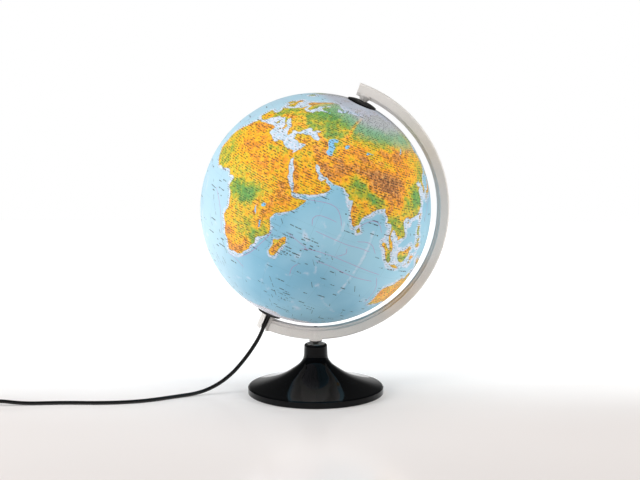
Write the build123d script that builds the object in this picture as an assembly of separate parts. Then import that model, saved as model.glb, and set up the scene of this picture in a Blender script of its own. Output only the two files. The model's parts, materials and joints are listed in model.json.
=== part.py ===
"""Lit desk globe on a stand: a 300 mm globe turning in a half-meridian arm on a black bell base.

Millimetres, +Z up, origin at the centre of the base's underside.  The arm lies in the XZ plane
with the north pole towards +X.  Parts on the globe's axis are drawn upright about Z, with the
globe's centre at zero height, and then tilted into place by on_axis().
"""
import math
import os

from build123d import *

# ---------------------------------------------------------------- driving dimensions
GLOBE_RADIUS = 150.0
GLOBE_WALL = 1.8
AXIS_TILT = 23.5
GLOBE_HEIGHT = 247.0

ARM_OUTER = 173.4
ARM_FACE_INNER = 162.2
ARM_INNER = 158.0
ARM_DEPTH = 15.6
ARM_NORTH_END = 70.6
ARM_SOUTH_END = -111.2

BASE_RADIUS = 89.4
BASE_RIM_HEIGHT = 9.4
BASE_WALL = 3.0
NECK_TOP = 66.5
NECK_RADIUS = 15.2
NECK_FLAT_RADIUS = 12.3

CAP_RADIUS = 19.5
PIN_RADIUS = 2.0
COLLAR_RADIUS = 16.0
COLLAR_FACE = -153.4
STEM_RADIUS = 6.0
STEM_BORE = 3.2
WIRE_OFFSETS = (-1.3, 1.3)
BOSS_RADIUS = 9.2
BOSS_TOP = -154.0
BOSS_END = -175.0
RUNNING_CLEARANCE = 0.05

CORD_DIAMETER = 5.0
CORD_RADIUS = CORD_DIAMETER / 2
COIL_CENTRE = (-516.0, -40.0)
COIL_INNER_TURN = 24.0
COIL_TURN_STEP = 5.2
COIL_LAYERS = 2
COIL_TURNS_WIDE = 3
COIL_OUTER_TURN = COIL_INNER_TURN + (COIL_TURNS_WIDE - 1) * COIL_TURN_STEP
COIL_TOP_LEVEL = CORD_RADIUS + (COIL_LAYERS - 1) * COIL_TURN_STEP

SWITCH_LENGTH = 58.0
SWITCH_WIDTH = 25.0
SWITCH_HEIGHT = 17.0
SWITCH_SPLIT = 8.5
SWITCH_WALL = 1.8
SWITCH_CENTRE = (-453.0, COIL_CENTRE[1] - COIL_OUTER_TURN)
SWITCH_CORD_LEVEL = 6.5
SWITCH_CORD_DEPTH = 8.0
SWITCH_NEAR_FACE = SWITCH_CENTRE[0] + SWITCH_LENGTH / 2
SWITCH_FAR_FACE = SWITCH_CENTRE[0] - SWITCH_LENGTH / 2
ROCKER_PIVOT_HEIGHT = 13.0
ROCKER_REST_TILT = 8.0

PLUG_LENGTH = 36.0
PLUG_WIDTH = 34.0
PLUG_THICKNESS = 13.7
PLUG_PIN_LENGTH = 19.0
PLUG_PIN_SPACING = 18.6
BOOT_LENGTH = 22.0
PLUG_AXIS = COIL_CENTRE[0] - COIL_OUTER_TURN
PLUG_START = 14.0
PLUG_LEVEL = PLUG_THICKNESS / 2

# The middle of a quarter arc, as shares of its radius from its centre and from its corner.
ARC_MIDDLE = math.sqrt(0.5)
ARC_DROP = 1 - ARC_MIDDLE

AXIS_PLANE = Plane(
    origin=(0, 0, GLOBE_HEIGHT),
    x_dir=(math.cos(math.radians(AXIS_TILT)), 0, -math.sin(math.radians(AXIS_TILT))),
    z_dir=(math.sin(math.radians(AXIS_TILT)), 0, math.cos(math.radians(AXIS_TILT))),
)

# The cord's route, from the grip inside the lamp stem down to the floor and along it.
CORD_ROUTE = [
    (-58.2, 0.0, 113.1),
    (-66.0, 0.0, 95.2),
    (-73.4, -1.0, 76.4),
    (-83.2, -2.0, 60.2),
    (-95.4, -3.0, 43.4),
    (-110.0, -5.0, 26.6),
    (-129.0, -8.5, 12.2),
    (-153.0, -17.0, 3.0),
    (-184.0, -34.0, 2.5),
    (-223.0, -58.5, 2.5),
    (-272.0, -69.0, 2.5),
    (-326.0, -66.5, 2.5),
    (-376.0, -73.0, 2.5),
    (-407.0, SWITCH_CENTRE[1], SWITCH_CORD_LEVEL),
    (SWITCH_NEAR_FACE - SWITCH_CORD_DEPTH, SWITCH_CENTRE[1], SWITCH_CORD_LEVEL),
]

# The short stretches between the switch, the coil and the plug.
SWITCH_TO_COIL = [
    (SWITCH_FAR_FACE + SWITCH_CORD_DEPTH, SWITCH_CENTRE[1], SWITCH_CORD_LEVEL),
    (SWITCH_FAR_FACE - 8.0, SWITCH_CENTRE[1], SWITCH_CORD_LEVEL),
    (COIL_CENTRE[0] + 12.0, SWITCH_CENTRE[1], CORD_RADIUS + 0.5),
]
COIL_TO_PLUG = [
    (PLUG_AXIS, COIL_CENTRE[1] + 12.0, COIL_TOP_LEVEL),
    (PLUG_AXIS, PLUG_START - BOOT_LENGTH - 6.0, PLUG_LEVEL + 0.1),
    (PLUG_AXIS, PLUG_START, PLUG_LEVEL),
]


# ---------------------------------------------------------------- helpers
def on_axis(shape):
    """Tilt an upright shape onto the globe's axis."""
    return AXIS_PLANE.location * shape


def turned(points):
    """Solid of revolution about Z from (radius, height) corners."""
    outline = Polyline(*points, close=True)
    return revolve(Plane.XZ * make_face(outline), Axis.Z)


def tube(outer, inner, low, high):
    """Plain tube about Z between two heights."""
    return turned([(inner, low), (outer, low), (outer, high), (inner, high)])


def rod(radius, low, high):
    """Plain round bar about Z between two heights."""
    return turned([(0, low), (radius, low), (radius, high), (0, high)])


def block(x_low, x_high, y_low, y_high, z_low, z_high):
    """Box between two corners."""
    size = (x_high - x_low, y_high - y_low, z_high - z_low)
    centre = ((x_high + x_low) / 2, (y_high + y_low) / 2, (z_high + z_low) / 2)
    return Pos(*centre) * Box(*size)


def sphere_height(radius, off_axis):
    """Height of a sphere's surface above its centre, at a distance from the axis."""
    return math.sqrt(radius**2 - off_axis**2)


def around(count, radius, start=0.0):
    """Places evenly spaced round a circle about Z."""
    return PolarLocations(radius, count, start)


def globe_half(hole, north):
    """Half of the globe's shell with a round hole at its pole."""
    side = 1 if north else -1
    outer = GLOBE_RADIUS
    inner = GLOBE_RADIUS - GLOBE_WALL
    outer_end = (hole, side * sphere_height(outer, hole))
    inner_end = (hole, side * sphere_height(inner, hole))
    outline = (
        ThreePointArc((outer, 0), (outer * ARC_MIDDLE, side * outer * ARC_MIDDLE), outer_end)
        + Line(outer_end, inner_end)
        + ThreePointArc(inner_end, (inner * ARC_MIDDLE, side * inner * ARC_MIDDLE), (inner, 0))
        + Line((inner, 0), (outer, 0))
    )
    return on_axis(revolve(Plane.XZ * make_face(outline), Axis.Z))


# ---------------------------------------------------------------- the globe
NORTH_HOLE = 5.7
SOUTH_HOLE = 14.2
CAP_STUD = 5.5
CAP_TOP = 153.0
CAP_RIM = 2.0
COLLAR_BODY = 14.0


def joining_ring():
    """Band inside the equator that the two halves are bonded to."""
    reach = 8.0
    gap = 0.1
    thick = 1.6
    outer = sphere_height(GLOBE_RADIUS - GLOBE_WALL, reach) - gap
    return on_axis(tube(outer, outer - thick, -reach, reach))


def north_cap():
    """Black domed cap with a hollow stud that turns on the pivot pin."""
    seat = GLOBE_RADIUS + 0.05
    bore = PIN_RADIUS + RUNNING_CLEARANCE
    rim = sphere_height(seat, CAP_RADIUS)
    stud_end = 143.0
    flat = 7.0
    edge = 0.8
    shoulder = (CAP_RADIUS - edge, rim + CAP_RIM)
    outline = (
        Polyline((bore, stud_end), (CAP_STUD, stud_end), (CAP_STUD, sphere_height(seat, CAP_STUD)))
        + ThreePointArc(
            (CAP_STUD, sphere_height(seat, CAP_STUD)),
            (12.0, sphere_height(seat, 12.0)),
            (CAP_RADIUS, rim),
        )
        + Line((CAP_RADIUS, rim), (CAP_RADIUS, rim + CAP_RIM - edge))
        + ThreePointArc(
            (CAP_RADIUS, rim + CAP_RIM - edge),
            (CAP_RADIUS - edge * ARC_DROP, rim + CAP_RIM - edge * ARC_DROP),
            shoulder,
        )
        + ThreePointArc(shoulder, (13.0, CAP_TOP - 0.6), (flat, CAP_TOP))
        + Polyline((flat, CAP_TOP), (bore, CAP_TOP), (bore, stud_end))
    )
    return on_axis(revolve(Plane.XZ * make_face(outline), Axis.Z))


def cap_retainer():
    """Push-on washer that holds the cap from inside."""
    return on_axis(tube(11.0, CAP_STUD, 145.8, 147.4))


def south_collar():
    """Black flanged bush at the south pole, running on the lamp stem."""
    seat = GLOBE_RADIUS + 0.05
    bore = STEM_RADIUS + RUNNING_CLEARANCE
    seat_inner = -sphere_height(seat, COLLAR_BODY)
    seat_outer = -sphere_height(seat, COLLAR_RADIUS)
    return on_axis(
        turned(
            [
                (bore, COLLAR_FACE),
                (COLLAR_RADIUS - 0.8, COLLAR_FACE),
                (COLLAR_RADIUS, COLLAR_FACE + 0.8),
                (COLLAR_RADIUS, seat_outer),
                (COLLAR_BODY, seat_inner),
                (COLLAR_BODY, -142.5),
                (12.2, -142.5),
                (12.2, -149.5),
                (bore, -149.5),
            ]
        )
    )


def collar_retainer():
    """Snap ring that holds the collar from inside."""
    return on_axis(tube(20.0, COLLAR_BODY, -146.3, -144.3))


# ---------------------------------------------------------------- the arm
PIVOT_BORE_END = 168.0
NUB_END = 153.5
FOOT_RADIUS = 8.5
FOOT_BOTTOM = 71.4
INSERT_RADIUS = 4.0
INSERT_TOP = 86.0
BOLT_RADIUS = 2.5
BOLT_TOP = 89.4
WASHER_THICKNESS = 1.2
GRUB_RADIUS = 1.5
GRUB_HEIGHT = -160.0


def arm_section():
    """Section of the arm: flat sides, eased outer edges and a stepped rib towards the globe."""
    half = ARM_DEPTH / 2
    edge = 1.4
    outer_crown = 0.5
    cove = 2.0
    rib_half = half - cove
    rib_round = 0.8
    side = (
        Line((ARM_INNER, 0), (ARM_INNER, rib_half - rib_round))
        + ThreePointArc(
            (ARM_INNER, rib_half - rib_round),
            (ARM_INNER + rib_round * ARC_DROP, rib_half - rib_round * ARC_DROP),
            (ARM_INNER + rib_round, rib_half),
        )
        + Line((ARM_INNER + rib_round, rib_half), (ARM_FACE_INNER - cove, rib_half))
        + ThreePointArc(
            (ARM_FACE_INNER - cove, rib_half),
            (ARM_FACE_INNER - cove * ARC_DROP, half - cove * ARC_MIDDLE),
            (ARM_FACE_INNER, half),
        )
        + Line((ARM_FACE_INNER, half), (ARM_OUTER - edge, half))
        + ThreePointArc(
            (ARM_OUTER - edge, half),
            (ARM_OUTER - edge * ARC_DROP, half - edge * ARC_DROP),
            (ARM_OUTER, half - edge),
        )
    )
    crown = ThreePointArc((ARM_OUTER, half - edge), (ARM_OUTER + outer_crown, 0), (ARM_OUTER, edge - half))
    return make_face(side + crown + mirror(side, Plane.XZ))


def meridian_arm():
    """Half-ring arm with its north nub, its foot and the slotted boss for the lamp stem."""
    centre_axis = Axis((0, 0, GLOBE_HEIGHT), (0, 1, 0))
    section = Pos(0, 0, GLOBE_HEIGHT) * arm_section()
    ring = revolve(section, centre_axis, ARM_NORTH_END - ARM_SOUTH_END)
    ring = ring.rotate(centre_axis, -ARM_NORTH_END)

    nub = on_axis(turned([(0, NUB_END), (4.8, NUB_END), (9.0, 160.5), (9.0, 162.0), (0, 162.0)]))
    pin_bore = on_axis(rod(PIN_RADIUS, NUB_END - 1, PIVOT_BORE_END))

    flare_out = 2.6
    flare_up = 2.0
    flare_start = FOOT_BOTTOM + 0.4
    flare_top = flare_start + flare_up
    foot_outline = (
        Polyline((0, FOOT_BOTTOM), (FOOT_RADIUS, FOOT_BOTTOM), (FOOT_RADIUS, flare_start))
        + ThreePointArc(
            (FOOT_RADIUS, flare_start),
            (FOOT_RADIUS + flare_out * ARC_DROP, flare_start + flare_up * ARC_MIDDLE),
            (FOOT_RADIUS + flare_out, flare_top),
        )
        + Polyline(
            (FOOT_RADIUS + flare_out, flare_top), (FOOT_RADIUS + flare_out, 76), (0, 76), (0, FOOT_BOTTOM)
        )
    )
    foot = revolve(Plane.XZ * make_face(foot_outline), Axis.Z)
    half = ARM_DEPTH / 2
    foot = foot & block(-20, 20, -half - 0.7, half + 0.7, 60, 90)
    rib = rod(FOOT_RADIUS, FOOT_BOTTOM, GLOBE_HEIGHT - ARM_FACE_INNER - 1.2)
    bead_radius = 2.2
    bead = rod(bead_radius, FOOT_BOTTOM + 0.8, GLOBE_HEIGHT - ARM_FACE_INNER - 0.6)
    bead_depth = half + 1.1 - bead_radius
    beads = Pos(0, bead_depth, 0) * bead + Pos(0, -bead_depth, 0) * bead
    insert_bore = rod(INSERT_RADIUS, FOOT_BOTTOM - 1, INSERT_TOP)
    bolt_bore = rod(BOLT_RADIUS + 0.1, INSERT_TOP - 1, 100)

    boss = fillet(rod(BOSS_RADIUS, BOSS_END, BOSS_TOP).edges().group_by(Axis.Z)[0], 1.6)
    boss = on_axis(boss)
    stem_bore = on_axis(rod(STEM_RADIUS, BOSS_END - 1, BOSS_TOP + 1))
    slot = on_axis(block(-3.5, 3.5, -BOSS_RADIUS - 2, 0, BOSS_END - 1, BOSS_TOP + 1))
    grub_bore = on_axis(Pos(-7, 0, GRUB_HEIGHT) * Rot(0, 90, 0) * Cylinder(GRUB_RADIUS, 6))

    arm = ring + nub + foot + rib + beads + boss
    for cut in (pin_bore, insert_bore, bolt_bore, stem_bore, slot, grub_bore):
        arm = arm - cut
    return arm


def pivot_pin():
    """Steel pin pressed into the arm's north end, on which the cap turns."""
    return on_axis(
        turned([(0, 144.5), (1.4, 144.5), (PIN_RADIUS, 145.4), (PIN_RADIUS, 167.6), (0, 167.6)])
    )


def grub_screw():
    """Grub screw that locks the lamp stem in the arm's boss."""
    screw = Pos(-6.3, 0, GRUB_HEIGHT) * Rot(0, 90, 0) * Cylinder(GRUB_RADIUS, 3.4)
    socket = Pos(-7.6, 0, GRUB_HEIGHT) * Rot(0, 90, 0) * extrude(RegularPolygon(0.8, 6), 1.2, both=True)
    return on_axis(screw - socket)


# ---------------------------------------------------------------- the lamp
def lamp_stem():
    """Plastic tube from the arm's boss to the lampholder; its lower end is open in front."""
    slot = block(-STEM_BORE, STEM_BORE, -STEM_RADIUS - 1, 0, -167, -154)
    grub = Pos(-6.0, 0, GRUB_HEIGHT) * Rot(0, 90, 0) * Cylinder(GRUB_RADIUS, 3.2)
    return on_axis(tube(STEM_RADIUS, STEM_BORE, -166, -96) - slot - grub)


def cord_grip():
    """Moulded grip that anchors the cord in the stem and passes its two wires."""
    grip = rod(STEM_BORE, -146, -138)
    wires = [Pos(x, 0, -142) * Cylinder(0.8, 10) for x in WIRE_OFFSETS]
    return on_axis(grip - wires[0] - wires[1])


def supply_wires():
    """The two insulated wires from the grip to the lampholder."""
    return [on_axis(Pos(x, 0, 0) * rod(0.75, -145.5, -92.0)) for x in WIRE_OFFSETS]


def lampholder_body():
    """White lampholder housing, screwed on the top of the stem."""
    body = turned(
        [
            (STEM_RADIUS, -101),
            (8.6, -101),
            (12.5, -96),
            (12.5, -54),
            (9.0, -54),
            (9.0, -90),
            (STEM_BORE, -90),
            (STEM_BORE, -96),
            (STEM_RADIUS, -96),
        ]
    )
    for level in (-88, -84, -80):
        body = body - Pos(0, 0, level) * (Cylinder(13.5, 1.2) - Cylinder(12.0, 1.2))
    return on_axis(body)


def lampholder_sleeve():
    """Threaded brass sleeve of the lampholder."""
    wall = tube(8.6, 7.3, -84, -56)
    for step in range(8):
        level = -82 + 3.2 * step
        wall = wall - Pos(0, 0, level) * (Cylinder(9.5, 1.2) - Cylinder(8.1, 1.2))
    return on_axis(wall)


def lampholder_insulator():
    """Insulating disc under the sleeve, with two passages for the wires."""
    disc = rod(8.9, -90, -84)
    for x in WIRE_OFFSETS:
        disc = disc - Pos(x, 0, -90) * Cylinder(0.8, 4.2)
    return on_axis(disc)


def centre_contact():
    """Sprung brass tongue under the bulb's tip."""
    half = 1.6
    foot = block(-5.5, 5.5, -half, half, -84, -83.3)
    tongue = block(-half, 5.5, -half, half, -83.3, -78.6)
    gap = block(-half, 4.7, -half - 0.1, half + 0.1, -83.3, -79.2)
    return on_axis(foot + tongue - gap)


def bulb_cap():
    """Small screw cap of the bulb, with a rolled thread."""
    cap = tube(6.9, 6.2, -76, -50) + turned([(0, -76), (6.9, -76), (4.6, -77.4), (0, -77.4)])
    for step in range(6):
        cap = cap - Pos(0, 0, -73.5 + 3.2 * step) * (Cylinder(7.5, 1.2) - Cylinder(6.5, 1.2))
    return on_axis(cap)


def bulb_tip():
    """Solder contact at the bulb's foot."""
    return on_axis(rod(2.4, -78.6, -77.4))


BULB_RADIUS = 11.0
BULB_WALL = 0.8


def bulb_glass():
    """Tubular glass of the bulb with a domed end."""
    top = 12.0
    neck = 6.15
    shoulder = -43.0
    inner = BULB_RADIUS - BULB_WALL
    outline = (
        Polyline((neck - BULB_WALL, -56), (neck, -56), (neck, -50))
        + ThreePointArc((neck, -50), (8.0, -46.6), (BULB_RADIUS, shoulder))
        + Line((BULB_RADIUS, shoulder), (BULB_RADIUS, top - BULB_RADIUS))
        + ThreePointArc(
            (BULB_RADIUS, top - BULB_RADIUS),
            (BULB_RADIUS * ARC_MIDDLE, top - BULB_RADIUS * ARC_DROP),
            (0, top),
        )
        + Line((0, top), (0, top - BULB_WALL))
        + ThreePointArc(
            (0, top - BULB_WALL),
            (inner * ARC_MIDDLE, top - BULB_RADIUS + inner * ARC_MIDDLE),
            (inner, top - BULB_RADIUS),
        )
        + Line((inner, top - BULB_RADIUS), (inner, shoulder))
        + ThreePointArc((inner, shoulder), (7.3, -46.1), (neck - BULB_WALL, -49.5))
        + Line((neck - BULB_WALL, -49.5), (neck - BULB_WALL, -56))
    )
    return on_axis(revolve(Plane.XZ * make_face(outline), Axis.Z))


def bulb_filament():
    """Glass foot with two support wires and the filament between them."""
    foot = turned([(0, -56), (4.4, -56), (2.2, -46), (2.2, -36), (0, -36)])
    leads = [Pos(x, 0, -28.5) * Cylinder(0.4, 17) for x in (-1.5, 1.5)]
    coil = Pos(0, 0, -20.5) * Rot(0, 90, 0) * Cylinder(0.6, 4.4)
    return on_axis(foot + leads[0] + leads[1] + coil)


# ---------------------------------------------------------------- the base
PLATE_BOTTOM = 1.0
PLATE_TOP = 3.0
PLATE_RADIUS = 85.0
BALLAST_TOP = 9.0
BALLAST_OUTER = 70.0
BALLAST_INNER = 24.0
SCREW_CIRCLE = 47.0
SCREW_COUNT = 4
SCREW_RADIUS = 1.6
NECK_PLATE = 59.0


def bell_outline(offset):
    """Side of the bell from the rim up to the neck, moved inwards by a wall thickness."""
    shift = offset * 0.35
    return Spline(
        (BASE_RADIUS - 1.6 - offset, BASE_RIM_HEIGHT + 0.4 - offset),
        (62.0 - shift, 16.9 - offset),
        (42.0 - shift, 25.2 - offset),
        (28.4 - offset * 0.55, 34.0 - offset * 0.85),
        (20.8 - offset * 0.8, 40.4 - offset * 0.6),
        (17.0 - offset * 0.95, 46.0 - offset * 0.3),
        (15.6 - offset, 53.0),
        tangents=[(-1, 0.22), (-0.06, 1)],
    )


def base_bell():
    """Glossy black bell with its neck, hollow underneath."""
    edge = NECK_RADIUS - NECK_FLAT_RADIUS
    side = bell_outline(0)
    foot = 0.5
    rim_top = (BASE_RADIUS, BASE_RIM_HEIGHT - 1.0)
    outside = (
        Polyline((0, foot), (BASE_RADIUS - 0.6, foot), (BASE_RADIUS, foot + 0.6), rim_top)
        + Line(rim_top, side @ 0)
        + side
        + Line(side @ 1, (NECK_RADIUS, NECK_TOP - edge))
        + ThreePointArc(
            (NECK_RADIUS, NECK_TOP - edge),
            (NECK_RADIUS - edge * ARC_DROP, NECK_TOP - edge * ARC_DROP),
            (NECK_FLAT_RADIUS, NECK_TOP),
        )
        + Polyline((NECK_FLAT_RADIUS, NECK_TOP), (0, NECK_TOP), (0, foot))
    )
    bell = revolve(Plane.XZ * make_face(outside), Axis.Z)
    hollow_side = bell_outline(BASE_WALL)
    hollow_rim = PLATE_RADIUS + 0.2
    mouth = foot - 0.1
    inside = (
        Polyline((0, mouth), (hollow_rim, mouth), (hollow_rim, (hollow_side @ 0).Y))
        + Line((hollow_rim, (hollow_side @ 0).Y), hollow_side @ 0)
        + hollow_side
        + Polyline(hollow_side @ 1, (12.0, NECK_PLATE), (0, NECK_PLATE), (0, mouth))
    )
    bell = bell - revolve(Plane.XZ * make_face(inside), Axis.Z)
    bosses = around(SCREW_COUNT, SCREW_CIRCLE, 45) * extrude(Circle(4.0), 9.0)
    posts = Pos(0, 0, BALLAST_TOP) * Compound(bosses)
    posts = posts & revolve(Plane.XZ * make_face(outside), Axis.Z)
    bell = bell + posts
    for place in around(SCREW_COUNT, SCREW_CIRCLE, 45):
        bell = bell - Pos(0, 0, BALLAST_TOP - 1) * place * extrude(Circle(SCREW_RADIUS), 7.0)
    return bell - rod(BOLT_RADIUS + 0.3, 50, 80)


def ballast_ring():
    """Steel weight in the base."""
    ring = tube(BALLAST_OUTER, BALLAST_INNER, PLATE_TOP, BALLAST_TOP)
    for place in around(SCREW_COUNT, SCREW_CIRCLE, 45):
        ring = ring - place * Cylinder(SCREW_RADIUS + 0.5, 40)
    return ring


def bottom_plate():
    """Plate that closes the base, with countersunk screw holes."""
    plate = tube(PLATE_RADIUS, 12.0, PLATE_BOTTOM, PLATE_TOP)
    for place in around(SCREW_COUNT, SCREW_CIRCLE, 45):
        plate = plate - place * Cylinder(SCREW_RADIUS + 0.3, 40)
        plate = plate - place * (Pos(0, 0, PLATE_BOTTOM - 0.1) * extrude(Circle(3.4), 1.3))
    return plate


def base_screws():
    """Screws through the plate and the ballast into the bell."""
    screws = []
    for place in around(SCREW_COUNT, SCREW_CIRCLE, 45):
        screw = rod(SCREW_RADIUS - 0.05, 1.2, 14.5) + rod(3.1, 1.2, 2.1)
        cross = block(-1.8, 1.8, -0.35, 0.35, 0.5, 1.8) + block(-0.35, 0.35, -1.8, 1.8, 0.5, 1.8)
        screws.append(place * (screw - cross))
    return screws


def felt_disc():
    """Felt disc glued under the plate, on which the globe stands; it hides the screws."""
    return rod(83.0, 0, PLATE_BOTTOM)


def stem_bolt():
    """Long bolt from inside the neck up into the arm's foot."""
    head = extrude(RegularPolygon(4.6, 6), 3.5)
    shank = rod(BOLT_RADIUS, 54.0, BOLT_TOP)
    shank = shank - turned([(1.7, BOLT_TOP + 0.1), (2.6, BOLT_TOP + 0.1), (2.6, BOLT_TOP - 0.8)])
    return Pos(0, 0, 53.5) * head + shank


def bolt_washer():
    """Steel washer under the bolt's head."""
    return tube(9.0, BOLT_RADIUS + 0.1, 57.0, NECK_PLATE)


def neck_spacer():
    """Bright spacer round the bolt: a thin disc on the neck and a rounded cone under the foot."""
    bore = BOLT_RADIUS + 0.1
    disc = NECK_TOP + 0.6
    top = FOOT_BOTTOM - WASHER_THICKNESS
    outline = (
        Polyline(
            (5.6, top), (bore, top), (bore, NECK_TOP), (NECK_FLAT_RADIUS - 0.6, NECK_TOP),
            (NECK_FLAT_RADIUS - 0.9, disc), (3.4, disc),
        )
        + ThreePointArc((3.4, disc), (4.9, (disc + top) / 2), (5.6, top))
    )
    return revolve(Plane.XZ * make_face(outline), Axis.Z)


def foot_washer():
    """Thin dark washer under the arm's foot."""
    return tube(FOOT_RADIUS - 0.1, BOLT_RADIUS + 0.1, FOOT_BOTTOM - WASHER_THICKNESS, FOOT_BOTTOM)


def arm_insert():
    """Brass thread insert in the arm's foot."""
    return tube(INSERT_RADIUS, BOLT_RADIUS, FOOT_BOTTOM + 0.4, INSERT_TOP)


# ---------------------------------------------------------------- the cord
def route_radii(points):
    """Corner radii for a route: 0.45 of the shorter run over the tangent of half the turn."""
    radii = []
    for before, here, after in zip(points, points[1:], points[2:]):
        first = Vector(*here) - Vector(*before)
        second = Vector(*after) - Vector(*here)
        half_turn = math.radians(first.get_angle(second)) / 2
        radii.append(0.45 * min(first.length, second.length) / math.tan(half_turn))
    return radii


def cord_tube(name, points):
    """Round cord along a route of straight runs joined by arcs."""
    radii = route_radii(points)
    print(name, "radii", [round(radius) for radius in radii])
    path = FilletPolyline(*points, radius=radii)
    start = Plane(origin=path @ 0, z_dir=path % 0)
    cord = sweep(start * Circle(CORD_RADIUS), path=path)
    expected = math.pi * CORD_RADIUS**2 * path.length
    print(name, "length", round(path.length, 1), "volume ratio", round(cord.volume / expected, 4))
    return cord


def cord_coil():
    """Outer shape of the neat coil in which the spare cord is put away."""
    outer = COIL_OUTER_TURN + CORD_RADIUS
    inner = COIL_INNER_TURN - CORD_RADIUS
    height = CORD_DIAMETER + (COIL_LAYERS - 1) * COIL_TURN_STEP
    ring = tube(outer, inner, 0.0, height)
    ring = fillet(ring.edges().filter_by(GeomType.CIRCLE), 1.8)
    return Pos(COIL_CENTRE[0], COIL_CENTRE[1], 0) * ring


def cord_tie():
    """Strap round the coil's back."""
    gap = 0.2
    wall = 0.9
    width = 8.0
    height = CORD_DIAMETER + (COIL_LAYERS - 1) * COIL_TURN_STEP
    low = sphere_height(COIL_INNER_TURN - CORD_RADIUS, width / 2) - gap
    high = COIL_OUTER_TURN + CORD_RADIUS + gap
    corner = 2.2
    outside = block(-width / 2, width / 2, low - wall, high + wall, 0.3, height + gap + wall)
    inside = block(-width, width, low, high, -1, height + gap)
    outside = fillet(outside.edges().filter_by(Axis.X).group_by(Axis.Z)[-1], corner + wall)
    strap = outside - fillet(inside.edges().filter_by(Axis.X).group_by(Axis.Z)[-1], corner)
    return Pos(COIL_CENTRE[0], COIL_CENTRE[1], 0) * strap


# ---------------------------------------------------------------- the in-line switch
WINDOW_LENGTH = 15.6
WINDOW_WIDTH = 10.4
ROCKER_RADIUS = 7.3
ROCKER_WIDTH = 9.6
ROCKER_PIN = 1.0
EAR_LOW = 5.4
EAR_HIGH = 7.2
SWITCH_SCREW_PLACES = ((-17.0, 7.0), (17.0, 7.0))
POST_RADIUS = 2.6


def at_switch(shape):
    """Move a shape drawn about the switch's centre to its place on the cord."""
    return Pos(SWITCH_CENTRE[0], SWITCH_CENTRE[1], 0) * shape


def switch_outline(shrink):
    """Plan of the switch: a rectangle with waisted, rounded ends."""
    half_length = SWITCH_LENGTH / 2 - shrink
    half_width = SWITCH_WIDTH / 2 - shrink
    nose = 5.5 - shrink / 2
    outline = Polyline(
        (-half_length, -nose),
        (-half_length + 9, -half_width),
        (half_length - 9, -half_width),
        (half_length, -nose),
        (half_length, nose),
        (half_length - 9, half_width),
        (-half_length + 9, half_width),
        (-half_length, nose),
        close=True,
    )
    plan = make_face(outline)
    return fillet(plan.vertices(), 4.0 - shrink)


def switch_base():
    """Lower half of the switch housing."""
    shell = extrude(switch_outline(0), SWITCH_SPLIT)
    shell = chamfer(shell.edges().group_by(Axis.Z)[0], 1.2)
    hollow = Pos(0, 0, SWITCH_WALL) * extrude(switch_outline(SWITCH_WALL), SWITCH_SPLIT)
    shell = shell - hollow
    for x, y in SWITCH_SCREW_PLACES:
        shell = shell + Pos(x, y, 0.5) * extrude(Circle(POST_RADIUS), SWITCH_SPLIT - 0.5)
        shell = shell - Pos(x, y, -0.1) * extrude(Circle(1.3), SWITCH_SPLIT + 1)
    passage = Pos(0, 0, SWITCH_CORD_LEVEL) * Rot(0, 90, 0) * Cylinder(CORD_RADIUS, SWITCH_LENGTH + 2)
    return at_switch(shell - passage)


def switch_cover():
    """Upper half of the switch housing with the rocker's window and its two ears."""
    height = SWITCH_HEIGHT - SWITCH_SPLIT
    shell = Pos(0, 0, SWITCH_SPLIT) * extrude(switch_outline(0), height)
    shell = fillet(shell.edges().group_by(Axis.Z)[-1], 1.6)
    hollow = Pos(0, 0, SWITCH_SPLIT) * extrude(switch_outline(SWITCH_WALL), height - SWITCH_WALL)
    shell = shell - hollow
    half = WINDOW_LENGTH / 2
    shell = shell - block(-half, half, -WINDOW_WIDTH / 2, WINDOW_WIDTH / 2, 10, 20)
    for side in (-1, 1):
        low, high = sorted((side * EAR_LOW, side * EAR_HIGH))
        shell = shell + block(-4, 4, low, high, 11, SWITCH_HEIGHT - 1)
    for x, y in SWITCH_SCREW_PLACES:
        shell = shell + Pos(x, y, SWITCH_SPLIT) * extrude(Circle(POST_RADIUS), height - 1)
        shell = shell - Pos(x, y, SWITCH_SPLIT - 0.1) * extrude(Circle(1.2), 5)
    bore = Cylinder(ROCKER_PIN + RUNNING_CLEARANCE, 2 * EAR_HIGH + 1)
    pins = Pos(0, 0, ROCKER_PIVOT_HEIGHT) * Rot(90, 0, 0) * bore
    passage = Pos(0, 0, SWITCH_CORD_LEVEL) * Rot(0, 90, 0) * Cylinder(CORD_RADIUS, SWITCH_LENGTH + 2)
    middle = block(-19, 19, -4, 4, 0, SWITCH_SPLIT + 3)
    return at_switch(shell - pins - (passage - middle))


def switch_rocker():
    """Rocker with a shallow V top, tilted to its off position."""
    half = ROCKER_RADIUS + 1
    outline = Polyline((-half, -2.2), (half, -2.2), (half, 5.7), (0, 4.5), (-half, 5.7), close=True)
    body = Rot(90, 0, 0) * extrude(make_face(outline), ROCKER_WIDTH / 2, both=True)
    body = body & (Rot(90, 0, 0) * Cylinder(ROCKER_RADIUS, ROCKER_WIDTH))
    body = body + Rot(90, 0, 0) * Cylinder(ROCKER_PIN, 2 * EAR_HIGH - 0.4)
    body = body + block(-1.0, 1.0, -2.0, 2.0, -3.6, -2.0)
    mark = Pos(4.6, 0, 5.35) * (Cylinder(1.5, 1.2) - Cylinder(1.0, 1.2))
    body = body - mark - block(-4.9, -4.4, -1.4, 1.4, 4.7, 6)
    tilted = Rot(0, ROCKER_REST_TILT, 0) * body
    return at_switch(Pos(0, 0, ROCKER_PIVOT_HEIGHT) * tilted)


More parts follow.
